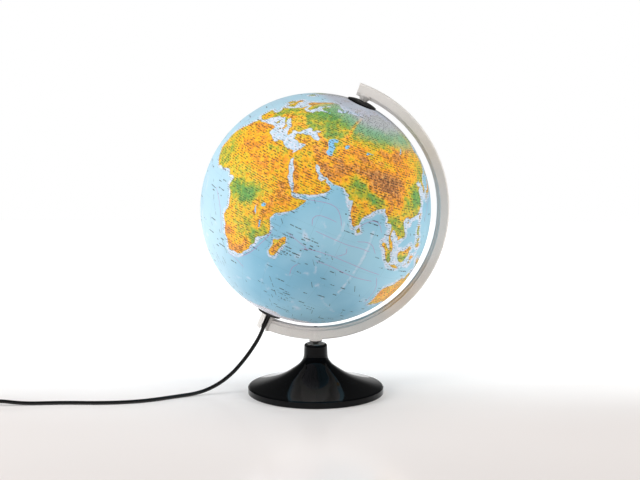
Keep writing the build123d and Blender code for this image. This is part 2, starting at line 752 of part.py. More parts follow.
def switch_contacts():
    """Two brass terminals and the contact strip under the rocker."""
    left = block(-18, -7.5, -2.4, 2.4, SWITCH_WALL, 4.2)
    right = block(7.5, 18, -2.4, 2.4, SWITCH_WALL, 4.2)
    strip = block(-7.0, 7.0, -1.8, 1.8, 6.4, 7.0) + block(-1.2, 1.2, -1.8, 1.8, SWITCH_WALL, 6.4)
    return [at_switch(piece) for piece in (left, right, strip)]


def switch_screws():
    """Screws that hold the switch's halves together."""
    screws = []
    for x, y in SWITCH_SCREW_PLACES:
        screw = Pos(x, y, 0) * (rod(1.15, 0.6, 12.5) + rod(1.28, 0.3, 0.8))
        screws.append(at_switch(screw))
    return screws


# ---------------------------------------------------------------- the plug
def at_plug(shape):
    """Move a shape drawn along +Y from the plug's back to its place on the floor."""
    return Pos(PLUG_AXIS, PLUG_START, PLUG_LEVEL) * shape


def plug_body():
    """Flat two-pin plug body, narrowing towards its cord."""
    half = PLUG_WIDTH / 2
    outline = Polyline(
        (-7, 0), (7, 0), (12, 10), (half, 22), (half, PLUG_LENGTH), (-half, PLUG_LENGTH), (-half, 22),
        (-12, 10), close=True,
    )
    body = extrude(make_face(outline), PLUG_LEVEL, both=True)
    body = fillet(body.edges().filter_by(Axis.Z), 2.0)
    body = chamfer(body.edges().group_by(Axis.Z)[0] + body.edges().group_by(Axis.Z)[-1], 1.0)
    for step in range(4):
        level = 9.0 + 3.0 * step
        groove = block(-30, 30, level, level + 1.0, PLUG_LEVEL - 0.5, PLUG_LEVEL + 1)
        body = body - (groove & block(-9, 9, 0, 40, 0, 20))
    for x in (-PLUG_PIN_SPACING / 2, PLUG_PIN_SPACING / 2):
        body = body - Pos(x, PLUG_LENGTH - 4, 0) * Rot(90, 0, 0) * Cylinder(1.95, 8.2)
    return at_plug(body)


def plug_pins():
    """Two round pins with insulating sleeves at their roots."""
    root = 8.0
    end = root + PLUG_PIN_LENGTH
    outline = [(0, 0), (1.95, 0), (1.95, root), (2.0, root), (2.0, end - 1.5), (1.2, end), (0, end)]
    pin = Rot(-90, 0, 0) * turned(outline)
    half = PLUG_PIN_SPACING / 2
    return [at_plug(Pos(x, PLUG_LENGTH - root, 0) * pin) for x in (-half, half)]


def plug_boot():
    """Tapered, ribbed strain relief behind the plug."""
    boot = turned([(CORD_RADIUS, -BOOT_LENGTH), (3.3, -BOOT_LENGTH), (5.4, 0), (CORD_RADIUS, 0)])
    for step in range(5):
        groove = Cylinder(8, 1.2) - Cylinder(4.3 - 0.3 * step, 1.2)
        boot = boot - Pos(0, 0, -3.0 - 3.6 * step) * groove
    return at_plug(Rot(-90, 0, 0) * boot)


# ---------------------------------------------------------------- assembly
NODES = {
    "north_hemisphere": lambda: globe_half(NORTH_HOLE, True),
    "south_hemisphere": lambda: globe_half(SOUTH_HOLE, False),
    "equator_joining_ring": joining_ring,
    "north_pole_cap": north_cap,
    "north_cap_retainer": cap_retainer,
    "south_pole_collar": south_collar,
    "south_collar_retainer": collar_retainer,
    "meridian_arm": meridian_arm,
    "north_pivot_pin": pivot_pin,
    "stem_grub_screw": grub_screw,
    "arm_thread_insert": arm_insert,
    "lamp_stem": lamp_stem,
    "cord_grip": cord_grip,
    "supply_wires": supply_wires,
    "lampholder_body": lampholder_body,
    "lampholder_sleeve": lampholder_sleeve,
    "lampholder_insulator": lampholder_insulator,
    "lampholder_contact": centre_contact,
    "bulb_screw_cap": bulb_cap,
    "bulb_contact_tip": bulb_tip,
    "bulb_glass": bulb_glass,
    "bulb_filament": bulb_filament,
    "base_bell": base_bell,
    "base_ballast": ballast_ring,
    "base_bottom_plate": bottom_plate,
    "base_screws": base_screws,
    "base_felt_disc": felt_disc,
    "stem_bolt": stem_bolt,
    "bolt_washer": bolt_washer,
    "neck_spacer": neck_spacer,
    "foot_washer": foot_washer,
    "power_cord": lambda: cord_tube("power_cord", CORD_ROUTE),
    "cord_switch_to_coil": lambda: cord_tube("cord_switch_to_coil", SWITCH_TO_COIL),
    "cord_coil": cord_coil,
    "cord_coil_to_plug": lambda: cord_tube("cord_coil_to_plug", COIL_TO_PLUG),
    "cord_tie": cord_tie,
    "switch_base": switch_base,
    "switch_cover": switch_cover,
    "switch_rocker": switch_rocker,
    "switch_contacts": switch_contacts,
    "switch_screws": switch_screws,
    "plug_body": plug_body,
    "plug_pins": plug_pins,
    "plug_boot": plug_boot,
}


def write_parts():
    """Write one STEP file for each node."""
    os.makedirs("parts", exist_ok=True)
    for name, make in NODES.items():
        shape = make()
        if isinstance(shape, list):
            shape = Compound(children=shape)
        export_step(shape, f"parts/{name}.step")


write_parts()
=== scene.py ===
"""Looks of the lit desk globe: map shells, materials, cord, floor, lights and camera.

Metres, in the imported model's own frame: +Z up, origin at the centre of the base's underside.
The arm lies in the XZ plane with the north pole towards +X, and the camera looks along +Y.
Places on the map are (longitude, latitude) in degrees, east and north positive.
"""
import json
import math

import bpy
import numpy as np
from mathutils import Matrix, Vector


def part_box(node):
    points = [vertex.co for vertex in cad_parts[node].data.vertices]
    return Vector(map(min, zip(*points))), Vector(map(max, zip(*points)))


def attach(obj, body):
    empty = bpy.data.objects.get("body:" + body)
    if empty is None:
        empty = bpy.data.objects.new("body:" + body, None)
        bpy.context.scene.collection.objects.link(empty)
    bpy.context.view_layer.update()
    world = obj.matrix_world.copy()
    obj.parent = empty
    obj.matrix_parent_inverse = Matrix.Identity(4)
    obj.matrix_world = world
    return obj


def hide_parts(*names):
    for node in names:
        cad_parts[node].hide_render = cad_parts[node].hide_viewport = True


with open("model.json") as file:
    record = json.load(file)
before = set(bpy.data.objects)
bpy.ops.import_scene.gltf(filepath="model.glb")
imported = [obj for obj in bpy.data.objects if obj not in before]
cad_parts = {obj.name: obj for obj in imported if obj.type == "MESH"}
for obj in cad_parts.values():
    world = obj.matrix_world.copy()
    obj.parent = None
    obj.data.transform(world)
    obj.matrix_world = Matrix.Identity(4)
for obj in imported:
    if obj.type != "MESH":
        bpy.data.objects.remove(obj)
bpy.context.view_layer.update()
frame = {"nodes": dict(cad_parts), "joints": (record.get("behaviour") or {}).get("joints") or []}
nodes = frame["nodes"]
joints = {joint["name"]: joint for joint in frame["joints"]}
WHITE = (1.0, 1.0, 1.0)


def add_object(name, data):
    """New object of some data, linked to the scene."""
    made = bpy.data.objects.new(name, data)
    bpy.context.scene.collection.objects.link(made)
    return made


# ---------------- camera
CAMERA_PLACE = (0.0401, -2.9573, 0.7496)
CAMERA_PITCH = -10.4346
CAMERA_TURN = 0.668
CAMERA_LENS = 129.55
SENSOR_WIDTH = 36.0


def make_camera():
    """Long lens from the front, a little above the globe."""
    data = bpy.data.cameras.new("camera")
    data.lens = CAMERA_LENS
    data.sensor_width = SENSOR_WIDTH
    camera = add_object("camera", data)
    camera.location = CAMERA_PLACE
    camera.rotation_euler = (math.radians(90 + CAMERA_PITCH), 0, math.radians(CAMERA_TURN))
    bpy.context.scene.camera = camera


make_camera()


# ---------------- the cord
CORD_DIAMETER = 0.005
CORD_RADIUS = CORD_DIAMETER / 2

# From the grip inside the lamp stem, down to the floor and along it to the in-line switch.
ROUTE_TO_SWITCH = [
    (-0.0582, 0.0, 0.1131), (-0.0660, 0.0, 0.0952), (-0.0734, -0.001, 0.0764),
    (-0.0832, -0.002, 0.0602), (-0.0954, -0.003, 0.0434), (-0.1100, -0.005, 0.0266),
    (-0.1290, -0.0085, 0.0122), (-0.1530, -0.017, 0.0030), (-0.1840, -0.034, 0.0025),
    (-0.2230, -0.0585, 0.0025), (-0.2720, -0.069, 0.0025), (-0.3260, -0.0665, 0.0025),
    (-0.3760, -0.073, 0.0025), (-0.4070, -0.0744, 0.0065), (-0.4320, -0.0744, 0.0065),
]

# Through the switch and down to the start of the coil.
ROUTE_TO_COIL = [
    (-0.4740, -0.0744, 0.0065), (-0.4900, -0.0744, 0.0065), (-0.5040, -0.0744, 0.0030),
]

# From the coil's last turn down into the plug.
ROUTE_TO_PLUG = [
    (-0.5504, -0.0320, 0.0129), (-0.5504, -0.0240, 0.0114), (-0.5504, -0.0150, 0.0080),
    (-0.5504, -0.0060, 0.0070), (-0.5504, 0.0040, 0.00685), (-0.5504, 0.0140, 0.00685),
]

COIL_CENTRE = (-0.516, -0.040)
COIL_RADII = (0.0344, 0.0292, 0.0240, 0.0240, 0.0292, 0.0344, 0.0344)
COIL_LEVELS = (0.0025, 0.0025, 0.0025, 0.0077, 0.0077, 0.0077, 0.0129)
COIL_TURNS = 6.25
COIL_SHIFT_SHARE = 0.4
COIL_SIDESTEP = 0.0022
POINTS_PER_TURN = 24


def smooth(value):
    """Smooth rise from 0 to 1 as value goes from 0 to 1."""
    value = min(max(value, 0.0), 1.0)
    return value * value * (3 - 2 * value)


def coil_point(turns):
    """Place on the coil after a number of turns, clockwise from its front."""
    whole = min(int(turns), len(COIL_RADII) - 1)
    following = min(whole + 1, len(COIL_RADII) - 1)
    part = max(0.0, (turns - whole - 1 + COIL_SHIFT_SHARE) / COIL_SHIFT_SHARE)
    share = smooth(part)
    radius = COIL_RADII[whole] + share * (COIL_RADII[following] - COIL_RADII[whole])
    level = COIL_LEVELS[whole] + share * (COIL_LEVELS[following] - COIL_LEVELS[whole])
    if COIL_LEVELS[whole] != COIL_LEVELS[following]:
        outwards = 1 if COIL_RADII[whole] > COIL_RADII[2] else -1
        radius += outwards * COIL_SIDESTEP * math.sin(math.pi * part)
    radius /= math.cos(math.pi / POINTS_PER_TURN)
    angle = math.radians(-90 - 360 * turns)
    return (COIL_CENTRE[0] + radius * math.cos(angle), COIL_CENTRE[1] + radius * math.sin(angle), level)


def make_cord():
    """The whole cord as one smooth line: drop, floor, switch, coil and plug."""
    steps = int(COIL_TURNS * POINTS_PER_TURN)
    coil = [coil_point(step / POINTS_PER_TURN) for step in range(steps + 1)]
    route = ROUTE_TO_SWITCH + ROUTE_TO_COIL + coil + ROUTE_TO_PLUG
    curve = bpy.data.curves.new("cord", "CURVE")
    curve.dimensions = "3D"
    curve.bevel_depth = 1.0
    curve.bevel_resolution = 5
    curve.resolution_u = 6
    curve.use_fill_caps = True
    spline = curve.splines.new("NURBS")
    spline.points.add(len(route) - 1)
    for point, place in zip(spline.points, route):
        point.co = (*place, 1.0)
        point.radius = CORD_RADIUS
    spline.order_u = 3
    spline.use_endpoint_u = True
    cord = add_object("cord", curve)
    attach(cord, "stand")
    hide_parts("power_cord", "cord_switch_to_coil", "cord_coil", "cord_coil_to_plug")
    return cord


cord = make_cord()


# ---------------- short forms for shader nodes
class Nodes:
    """Builds the node tree of one material, or of the world."""

    def __init__(self, name, world=False):
        self.owner = bpy.data.worlds.new(name) if world else bpy.data.materials.new(name)
        self.owner.use_nodes = True
        self.tree = self.owner.node_tree
        self.shader = self.tree.nodes["Background" if world else "Principled BSDF"]

    def fill(self, socket, value):
        """Link a socket to another one, or set it to a plain value."""
        if isinstance(value, bpy.types.NodeSocket):
            self.tree.links.new(value, socket)
        else:
            socket.default_value = value

    def put(self, kind, inputs=None, output=0, **settings):
        """Add a node. An input is a value or a socket to link."""
        made = self.tree.nodes.new("ShaderNode" + kind)
        for name, value in settings.items():
            setattr(made, name, value)
        for name, value in (inputs or {}).items():
            self.fill(made.inputs[name], value)
        return made.outputs[output]

    def set(self, **values):
        """Set or link the shader's sockets, where an underscore stands for a space."""
        for name, value in values.items():
            self.fill(self.shader.inputs[name.replace("_", " ")], value)
        return self.owner

    def math(self, operation, first, second=0.0, third=0.0, clamp=False):
        inputs = {0: first, 1: second, 2: third}
        return self.put("Math", inputs, operation=operation, use_clamp=clamp)

    def each(self, operation, first, *others):
        """One operation between several values, from left to right."""
        for other in others:
            first = self.math(operation, first, other)
        return first

    def times(self, *values):
        return self.each("MULTIPLY", *values)

    def plus(self, *values):
        return self.each("ADD", *values)

    def highest(self, *values):
        return self.each("MAXIMUM", *values)

    def mix(self, share, first, second):
        """Colour between first and second."""
        inputs = {0: share, 6: first, 7: second}
        return self.put("Mix", inputs, output=2, data_type="RGBA")

    def fit(self, value, low, high, to_low=0.0, to_high=1.0):
        """Map value from one range to another, clamped, with soft ends."""
        inputs = {"Value": value, 1: low, 2: high, 3: to_low, 4: to_high}
        return self.put("MapRange", inputs, interpolation_type="SMOOTHSTEP")

    def steps(self, value, rows):
        """Sum of several such ranges."""
        return self.plus(*[self.fit(value, *row) for row in rows])

    def place(self):
        return self.put("TexCoord", output=3)

    def stretch(self, scale):
        """Object place scaled by three factors."""
        return self.put("Mapping", {"Vector": self.place(), "Scale": scale})

    def noise(self, scale, detail=3.0, roughness=0.5, offset=0.0, vector=None):
        """Noise of a given number of bumps in each metre."""
        inputs = {"Vector": vector or self.place(), "W": offset, "Scale": scale}
        inputs.update({"Detail": detail, "Roughness": roughness})
        return self.put("TexNoise", inputs, noise_dimensions="4D")

    def value(self, name):
        return self.put("Attribute", output=2, attribute_name=name)

    def ramp(self, share, stops):
        """Colour ramp through (place, colour) stops."""
        made = self.put("ValToRGB", {"Fac": share})
        band = made.node.color_ramp
        while len(band.elements) < len(stops):
            band.elements.new(1.0)
        for element, (place, colour) in zip(band.elements, stops):
            element.position = place
            element.color = colour
        return made

    def bump(self, height, depth, strength=1.0, normal=None):
        """Bump of a depth in metres."""
        inputs = {"Strength": strength, "Distance": depth, "Height": height}
        if normal:
            inputs["Normal"] = normal
        return self.put("Bump", inputs)


def tone(red, green, blue):
    """Linear colour from display values of 0 to 255."""
    linear = []
    for value in (red, green, blue):
        value /= 255
        linear.append(value / 12.92 if value <= 0.04045 else ((value + 0.055) / 1.055) ** 2.4)
    return (*linear, 1.0)


def darker(colour, share):
    """The same colour with its channels turned down."""
    return (*[channel * share for channel in colour[:3]], 1.0)


def paint(material, *names):
    """Give CAD nodes or pieces one material."""
    for name in names:
        data = nodes[name].data if isinstance(name, str) else name.data
        data.materials.clear()
        data.materials.append(material)


# ---------------- the map's outlines
def rows_of(text):
    """Rows of numbers from text: commas inside a row, spaces between rows."""
    return [tuple(float(number) for number in row.split(",")) for row in text.split()]


def outlines(text):
    """Closed outlines by name: a name and a colon, then its corners."""
    found = {}
    for word in text.split():
        if word.endswith(":"):
            corners = found.setdefault(word[:-1], [])
        else:
            corners.extend(rows_of(word))
    return found


def chains(text):
    """Chains, one to a line: width and strength, then the crest."""
    found = []
    for line in text.strip().splitlines():
        (width, strength), *crest = rows_of(line)
        found.append((width, strength, crest))
    return found


LAND = outlines("""
    africa: -5.9,35.8 -2,35.1 1,36.5 5,36.8 9.5,37.3 11,37 10.2,34.3 11.2,33.2 15.2,32.3 18,30.6 20,30.9
    20.2,32.4 22.5,32.8 25,31.6 29,30.9 31.2,31.5 32.4,31.2 32.6,29.9 33.6,27.8 35.5,24 37.2,21
    37.3,18.8 39,16.2 41.2,14.6 43.1,12.6 43.3,11.5 45,10.6 48,11.2 51.3,11.9 50.8,9.5 48.5,5 46,2.3
    42.5,-0.8 40.2,-2.7 39.2,-4.7 38.8,-6.5 39.5,-8.5 40.5,-10.6 40.7,-14.5 38.5,-17.2 35.5,-19.3
    34.8,-20.8 35.5,-22.5 35.3,-24 32.9,-25.6 32.6,-27.5 31.2,-29.8 28.5,-32.7 25.7,-34 22.5,-34.1
    20,-34.8 18.4,-34 18.1,-32 16.8,-29 15.2,-26.8 14.5,-23 13.3,-20.5 11.8,-17.8 12.2,-15.2 13.7,-12
    13.3,-9 12.2,-6 11.7,-4.4 9.5,-2.3 8.8,-0.6 9.7,1 9.8,3.2 8.8,4.5 6,4.3 4.3,6.3 1.2,6 -2,4.8 -5,5.1
    -7.6,4.4 -9.5,5.6 -11.5,6.9 -13.2,8.9 -15,11 -16.7,12.6 -17.4,14.7 -16.4,16.5 -16.2,19 -17,21
    -15.9,23.7 -14.3,26.3 -12.9,27.9 -10.2,29.4 -9.7,31.3 -8.4,33.3 -6.8,34.3
    eurasia: 32.6,30 34.3,31.3 35,32.8 36,35.8 36.2,36.7 34,36.4 32,36.1 30.6,36.8 28,36.7 27.2,38.3
    26.3,39.6 29,40.5 29.1,41.1 31.5,41.2 35,42 38.5,41 41.5,41.6 41.2,43.2 38,44.5 37,45.4 39.3,47.2
    36.5,46.6 35.4,45.3 33.5,44.5 32.7,46 30.8,46.5 28.7,44.3 27.8,42.6 28.2,41.4 26.2,40.7 24,40.7
    22.9,40.4 23.8,38.6 23.2,36.6 21.7,36.8 21,38.4 19.5,40.5 19.4,41.9 16,43.5 13.7,45.1 13.5,45.7
    12.3,45.2 12.6,44 14.2,42.4 16,41.6 18.4,40.2 16.9,40.4 17,39 15.8,38 15.8,40 14,40.9 12.2,41.8
    10.3,43.3 8.7,44.4 6.5,43.2 3.2,43.2 3.1,41.9 0.6,40.7 -0.3,39.3 0,38.7 -0.8,37.7 -2.2,36.8
    -5.6,36.1 -6.5,37 -8.9,37 -9.4,38.8 -8.8,41 -9.2,43 -8,43.7 -4.5,43.4 -1.6,43.4 -1.2,45.8 -2.6,47.5
    -4.6,48.3 -1.5,48.7 -1.6,49.7 0.2,49.6 1.6,50.8 4,51.7 6,53.4 8.6,53.9 8.2,55.6 8.3,57 10.6,57.6
    10.5,55.6 10.8,54.2 12.5,54.3 14.5,53.9 18.5,54.7 21,55 21.2,57 22.6,57.7 24.2,57.2 23.7,58.9
    28,59.6 30,59.9 28.5,60.6 25,60.2 21.5,60.9 21.4,63 25.2,65.2 22.2,65.8 21,64.3 17.4,62 17.2,60.7
    18.7,59.6 16.7,57.8 16,56.2 14.2,55.5 12.9,55.5 11.3,58.5 10.6,59.2 8,58.1 5.5,59 5.1,61.5 8.5,63.6
    12.5,66.3 15,68.5 19.5,69.9 25.7,71.1 30.5,70.4 33,69.4 40.5,67.5 40.2,66.4 34,66.7 35,64.5
    37.5,63.9 38,64.8 40.2,64.6 43.8,66.2 43.7,68.4 46,68.1 46.5,66.9 50,68.2 54,68.5 59.5,68.6 61,69.4
    64.8,69.3 67,68.9 69,68.6 67,70.5 67,72.2 69,73 72.5,72.5 72.8,69.5 74,67.5 73.8,68.8 74.5,72
    78,72.2 80.5,73.6 87,75.1 93,76.1 98.5,76.3 104.3,77.7 108,76.6 113.5,75.7 113,73.8 119,73 124,73.5
    127,73.3 129.5,71 133,71.5 140,72.6 150,71.6 160,69.7 170,70 176,69.8 190,66.1 187,64.4 181,65.5
    178.5,64.5 178,62.5 174,61.8 170.3,60 166,60.2 163.2,58 162.8,56.5 160,53.5 156.7,51 155.6,55
    156.5,57.8 161,60.4 163.5,62.4 160.3,61.8 157,61.6 154.5,59.5 150,59.6 143,59.3 137.5,55.5
    135.2,54.7 139.8,54.1 141.3,52.5 140.5,50 140.3,48 137,45.3 135,43.5 132,43.2 130.6,42.3 129.7,40.9
    127.6,39.6 129.4,37 129,35.2 126.4,34.4 126.6,37 124.8,38.1 125.2,39.6 121.8,39 122,40.6 119,39.2
    117.7,38.7 119,37.3 122.5,37.2 119.4,35.2 121,32.6 121.9,31 120.9,30.3 122,29.2 119.7,25.8 117,23.5
    114,22.3 111,21.4 109.8,20.4 109.6,21.6 108,21.6 106.6,20.2 105.8,18.9 107.5,16.5 109.2,13.5
    109.1,11.6 107,10.4 105.2,8.7 104.8,10.3 102.9,11.6 101,13.3 100.1,13.3 99.4,10.8 100.3,8.4
    102.2,6.3 103.4,4 103.8,1.4 101.4,2.8 100.4,5.2 99,7.8 98.3,9.5 98.7,13 97.7,16.3 95.3,15.8
    94.3,16.2 94.5,18.5 92.3,20.8 91.5,22.6 89,21.8 87,21.3 85.2,19.6 82.3,16.7 80.2,15 80.2,12
    79.9,10.3 78.2,8.9 77.5,8.1 76.3,10 74.8,13 73.4,16.2 72.8,19.2 72.6,21.3 70.8,20.8 69.1,22.3
    70.3,22.9 67.4,24 66.5,25.3 61.6,25.2 57.4,25.7 56.9,27 54.5,26.6 51.4,27.9 50.2,30 48,30 48.4,28.3
    50,26.6 50.8,24.9 51.3,26.1 51.6,24.4 54,24.2 56.1,26.2 56.5,24.5 58.6,23.6 59.8,22.5 58.5,20.4
    57.7,19 55.2,17.4 52.2,15.7 48.5,14 45,12.8 43.4,12.7 42.8,15.5 42,17.5 39.2,21 38.5,23.5 35.8,26.8
    34.9,29.5 34.2,27.8 32.7,29.9
    north_america: -168,65.6 -164.5,66.5 -162.5,67 -166.5,68.4 -163,69.3 -156.7,71.3 -150,70.5 -141,69.7
    -135,69.3 -129,70.2 -124.5,69.7 -115,68.5 -108,68 -102,67.8 -96,68.2 -94.5,71.8 -91,69.5 -86,67.5
    -82,69.5 -81.5,67.3 -86.5,66.3 -88,64.2 -94,61 -94.7,58.8 -92.5,57 -88,56.5 -82.3,55.2 -82.2,52.9
    -79.8,51.3 -78.8,52.5 -79.5,54.7 -76.5,57.2 -78.3,60 -77.5,62.4 -73.5,62.3 -70,61 -69.5,58.9
    -66,58.8 -64.5,60.3 -61.8,57.5 -58,54.8 -55.8,52.5 -59,50.2 -66,50.2 -70,47 -64.5,49 -64.5,46.3
    -61,45.5 -65.8,43.6 -66,45 -70.2,43.6 -70.6,41.8 -74,40.6 -75.5,38.5 -76,36.8 -75.6,35.2 -78.5,33.8
    -81.2,31.5 -80.2,27 -81,25.2 -82.7,28 -84.2,30 -89.5,30.2 -91,29.3 -94.7,29.4 -97.3,27.5 -97.7,22.5
    -96,19.2 -94.5,18.2 -91,18.8 -90.3,21 -87,21.5 -88.2,18 -88.5,15.9 -84.5,15.8 -83.3,14.8 -83.7,11
    -82,9 -79.6,9.5 -77,8.8 -77.4,7.2 -80.3,7.3 -83,8.3 -85.7,10 -87.7,13 -92,14.5 -95,16 -99.5,16.7
    -104,18.5 -105.6,20.4 -106,23 -109.3,26 -112.5,29.5 -114.8,31.5 -112.8,28.2 -109.7,23.2 -112.2,25
    -114.3,28.5 -117,32.4 -120.6,34.6 -122.5,37.5 -124.3,40.3 -124,44.5 -124.6,48.3 -122.8,49 -127.5,51
    -130.3,54.5 -134,58 -139.5,59.7 -147,61 -151.5,59.4 -154,58.5 -158.5,56 -164.5,54.6 -160,56
    -157.5,58.7 -162,59 -165.2,61.5 -164.5,63.1 -161,64.5 -166,64.6
    south_america: -78,8.6 -75.3,10.8 -71.8,12.2 -71.3,10.8 -68,11.4 -64,10.4 -61.8,10.7 -60,8.5 -57,6
    -52,4.8 -50,1 -48,-0.8 -44.3,-2.6 -40,-2.9 -35.3,-5.2 -34.9,-8 -37.2,-11.3 -39,-14 -39.3,-17.8
    -40.8,-21.5 -44.5,-23.1 -48.3,-25.5 -48.7,-28.5 -52.2,-32.3 -54.9,-34.9 -58.3,-34.2 -57,-36.8
    -58.5,-38.6 -62.2,-39 -65,-41 -65.2,-44.5 -67.5,-46.5 -65.9,-47.9 -69,-50.6 -68.3,-52.7 -65.3,-54.7
    -70,-55.3 -74,-52.8 -75.5,-48 -74,-44 -73.7,-39.5 -73,-36.5 -71.6,-32.5 -71,-28 -70.3,-22
    -70.4,-18.4 -75,-15.5 -78.5,-10 -81.2,-6 -80.3,-3.3 -80.9,-1.5 -79.5,1 -77.5,3.5 -77.9,6.8
    australia: 142.5,-10.8 143.6,-14.3 145.3,-15 146.3,-18.8 149,-20.3 150.8,-23.3 153.2,-25.8
    153.5,-28.5 152.5,-32.4 150.2,-36.5 147.5,-38 145,-38.2 143.5,-38.8 140.5,-38 138.2,-35.7 138,-33
    136,-34.8 134.2,-32.7 131.2,-31.5 127,-32.3 123.8,-33.9 120,-33.9 117.9,-35 115.1,-34.3 115.7,-31.8
    113.7,-27 113.5,-24 114.2,-21.9 116.8,-20.6 119.3,-20 122,-18.1 122.4,-17 124.5,-16.2 126.3,-14.1
    128,-15 129.6,-14.9 130.8,-12.4 132.6,-11.4 136.8,-12 135.6,-14.8 139,-17.3 140.9,-17.4 141.7,-14.5
    141.8,-12.4
    greenland: -44,60 -48.5,61.5 -52,64.5 -53.7,67 -51,70 -55,71.5 -58.5,75.5 -68,76.1 -73,78.3 -65,80.2
    -60,82 -45,82.2 -33,83.6 -22,82.4 -12,81.4 -18,80 -20,76.5 -20,74 -24,72.3 -22.5,70.3 -27,68.5
    -36,65.8 -40.5,64.5 -42,61.5
    madagascar: 49.3,-12 50.5,-15.8 49.7,-17 48,-22 47,-25 45.2,-25.5 43.7,-23.5 44.3,-20.2 44.2,-16.3
    46.5,-15.6 48,-13.6
    ceylon: 80,9.8 81.3,8.5 81.9,7 80.7,5.9 79.8,7
    sumatra: 95.3,5.6 97.5,5.2 100.4,2.8 103.5,0 104.5,-2 106,-3.2 105.8,-5.8 104.5,-5.8 102.2,-4
    100.4,-1 98.7,1.7 96,4
    java: 105.2,-6.7 106.2,-5.9 108.6,-6.7 110.8,-6.4 112.7,-6.9 114.5,-7.8 114.4,-8.7 110,-8.1
    106.4,-7.4
    borneo: 109,1.6 109.7,2 111.3,2.6 113,3.2 115.2,5.5 116.8,7 119,5.2 117.7,3.7 118,1 117.5,-0.8
    116.3,-3 114.6,-4.1 111.8,-3.5 110.1,-1.5 109.1,0.3
    sulawesi: 119,-5.5 120.4,-5.5 120.5,-3 121.6,-4.3 122.8,-5.3 122.3,-3.3 121.2,-1.9 123.3,-0.9
    121,-1.2 120.2,0.7 123.5,0.5 125.2,1.5 124,0.3
    new_guinea: 131,-0.8 134,-0.8 135,-3.3 137.8,-1.5 141,-2.6 144.5,-3.9 147.5,-6 150.8,-10.3
    147.2,-9.5 144.5,-7.7 142,-9.2 138.5,-8.3 138,-5.5 134.5,-4 132.5,-2.8
    luzon: 120.6,18.5 122.2,18.3 121.6,15.8 124,13 122.5,13.2 120.6,14 120,16.2
    visayas: 122,11.7 124.8,12.4 125.2,10.5 123,9.2
    mindanao: 122,7 123.5,8.6 125.5,9.7 126.5,7.5 125.5,6 124,6.5
    taiwan: 121.5,25.3 121.9,24.7 120.8,22 120.1,23.2
    hainan: 108.7,19.3 110.5,20.1 110.9,19.3 109.6,18.2
    honshu: 130.9,34 133,35.5 136,35.8 137.2,37.4 139.5,38.5 140,40.7 141.4,41.4 142,39.5 140.9,37.5
    140.8,35.7 138.5,34.7 136.8,34.3 135.8,33.5 135,34.6 132.5,34.2
    kyushu: 129.8,33 131,33.9 132,32.8 131.2,31.3 130.2,31.4
    shikoku: 132.3,33.8 134.4,34.3 134.2,33.3 133,32.8
    hokkaido: 140,41.5 140.4,43.3 141.8,45.4 145.3,43.8 143.3,42 141,42.4
    sakhalin: 142,46 142,50 142.2,53.5 143,54.3 143.3,51.5 144.5,49 143,47.5 143.4,46.3
    novaya_zemlya: 51.8,71.2 55,74 60,76.2 68.5,76.8 62,75.5 57,73.2 57.5,70.7 54,70.8
    svalbard: 12,79.5 20,80.4 26,80 20,78.5 17,76.7 14,77.8
    severnaya_zemlya: 96,79 100,81 105,79 103,78.2 99,78.3
    new_siberia: 137.5,75.5 144,76 150,75 143,73.4 140,74
    iceland: -24,65.5 -22,66.4 -16,66.5 -13.6,65 -18.5,63.4 -22.5,64
    britain: -5.5,50.1 -3,50.7 1.3,51.2 1.7,52.7 0,53.5 -1.6,55.3 -3,56 -1.9,57.5 -3.5,58.6 -5.2,58.5
    -6,56.5 -4.8,54.8 -3,54 -4.5,53.2 -5.1,51.8 -3,51.4
    ireland: -6,52.2 -10,51.6 -9.8,54.2 -7.3,55.3 -5.6,54.5
    sicily: 12.5,38 15.6,38.2 15.1,36.7 12.6,37.5
    sardinia: 8.2,39 8.3,41 9.6,41 9.6,39.2
    corsica: 8.6,42 9.4,43 9.4,41.5
    crete: 23.6,35.3 26.2,35.2 24.8,34.9
    cyprus: 32.4,34.8 34.5,35.6 33.6,34.8
    tasmania: 144.8,-40.8 148.2,-40.9 148,-43 146.2,-43.5
    new_zealand_north: 172.8,-34.5 174.5,-36.2 175.8,-37 178.4,-37.7 177,-39.5 175.2,-41.6 173.8,-39.3
    174.6,-38
    new_zealand_south: 172.7,-40.6 174.2,-41.4 172.8,-43.7 170.7,-46 168.4,-46.6 166.6,-45.8 169,-43.8
    171.5,-42
    cuba: -84.9,21.9 -82,23.1 -77,22 -74.2,20.2 -77.7,19.9
    hispaniola: -74.3,18.5 -72.5,19.9 -68.5,18.6 -71,17.8
    newfoundland: -59,47.7 -56,51.5 -53,48.5 -53.5,46.7
    baffin: -80,73.6 -75,72 -68,70.5 -62,66.7 -64.5,63 -71,62.9 -74,64.7 -72.5,67.5 -78,70 -88,71
    -88,73.6
    ellesmere: -90,76.5 -78,76.2 -75,78.5 -62,82.4 -75,83.1 -90,81.5 -87,79
    victoria: -117,70 -110,69 -102,69.5 -105,73 -115,73.3 -117.5,71.5
    banks: -125,72 -120,71.5 -116,73.5 -122,74.3
""")

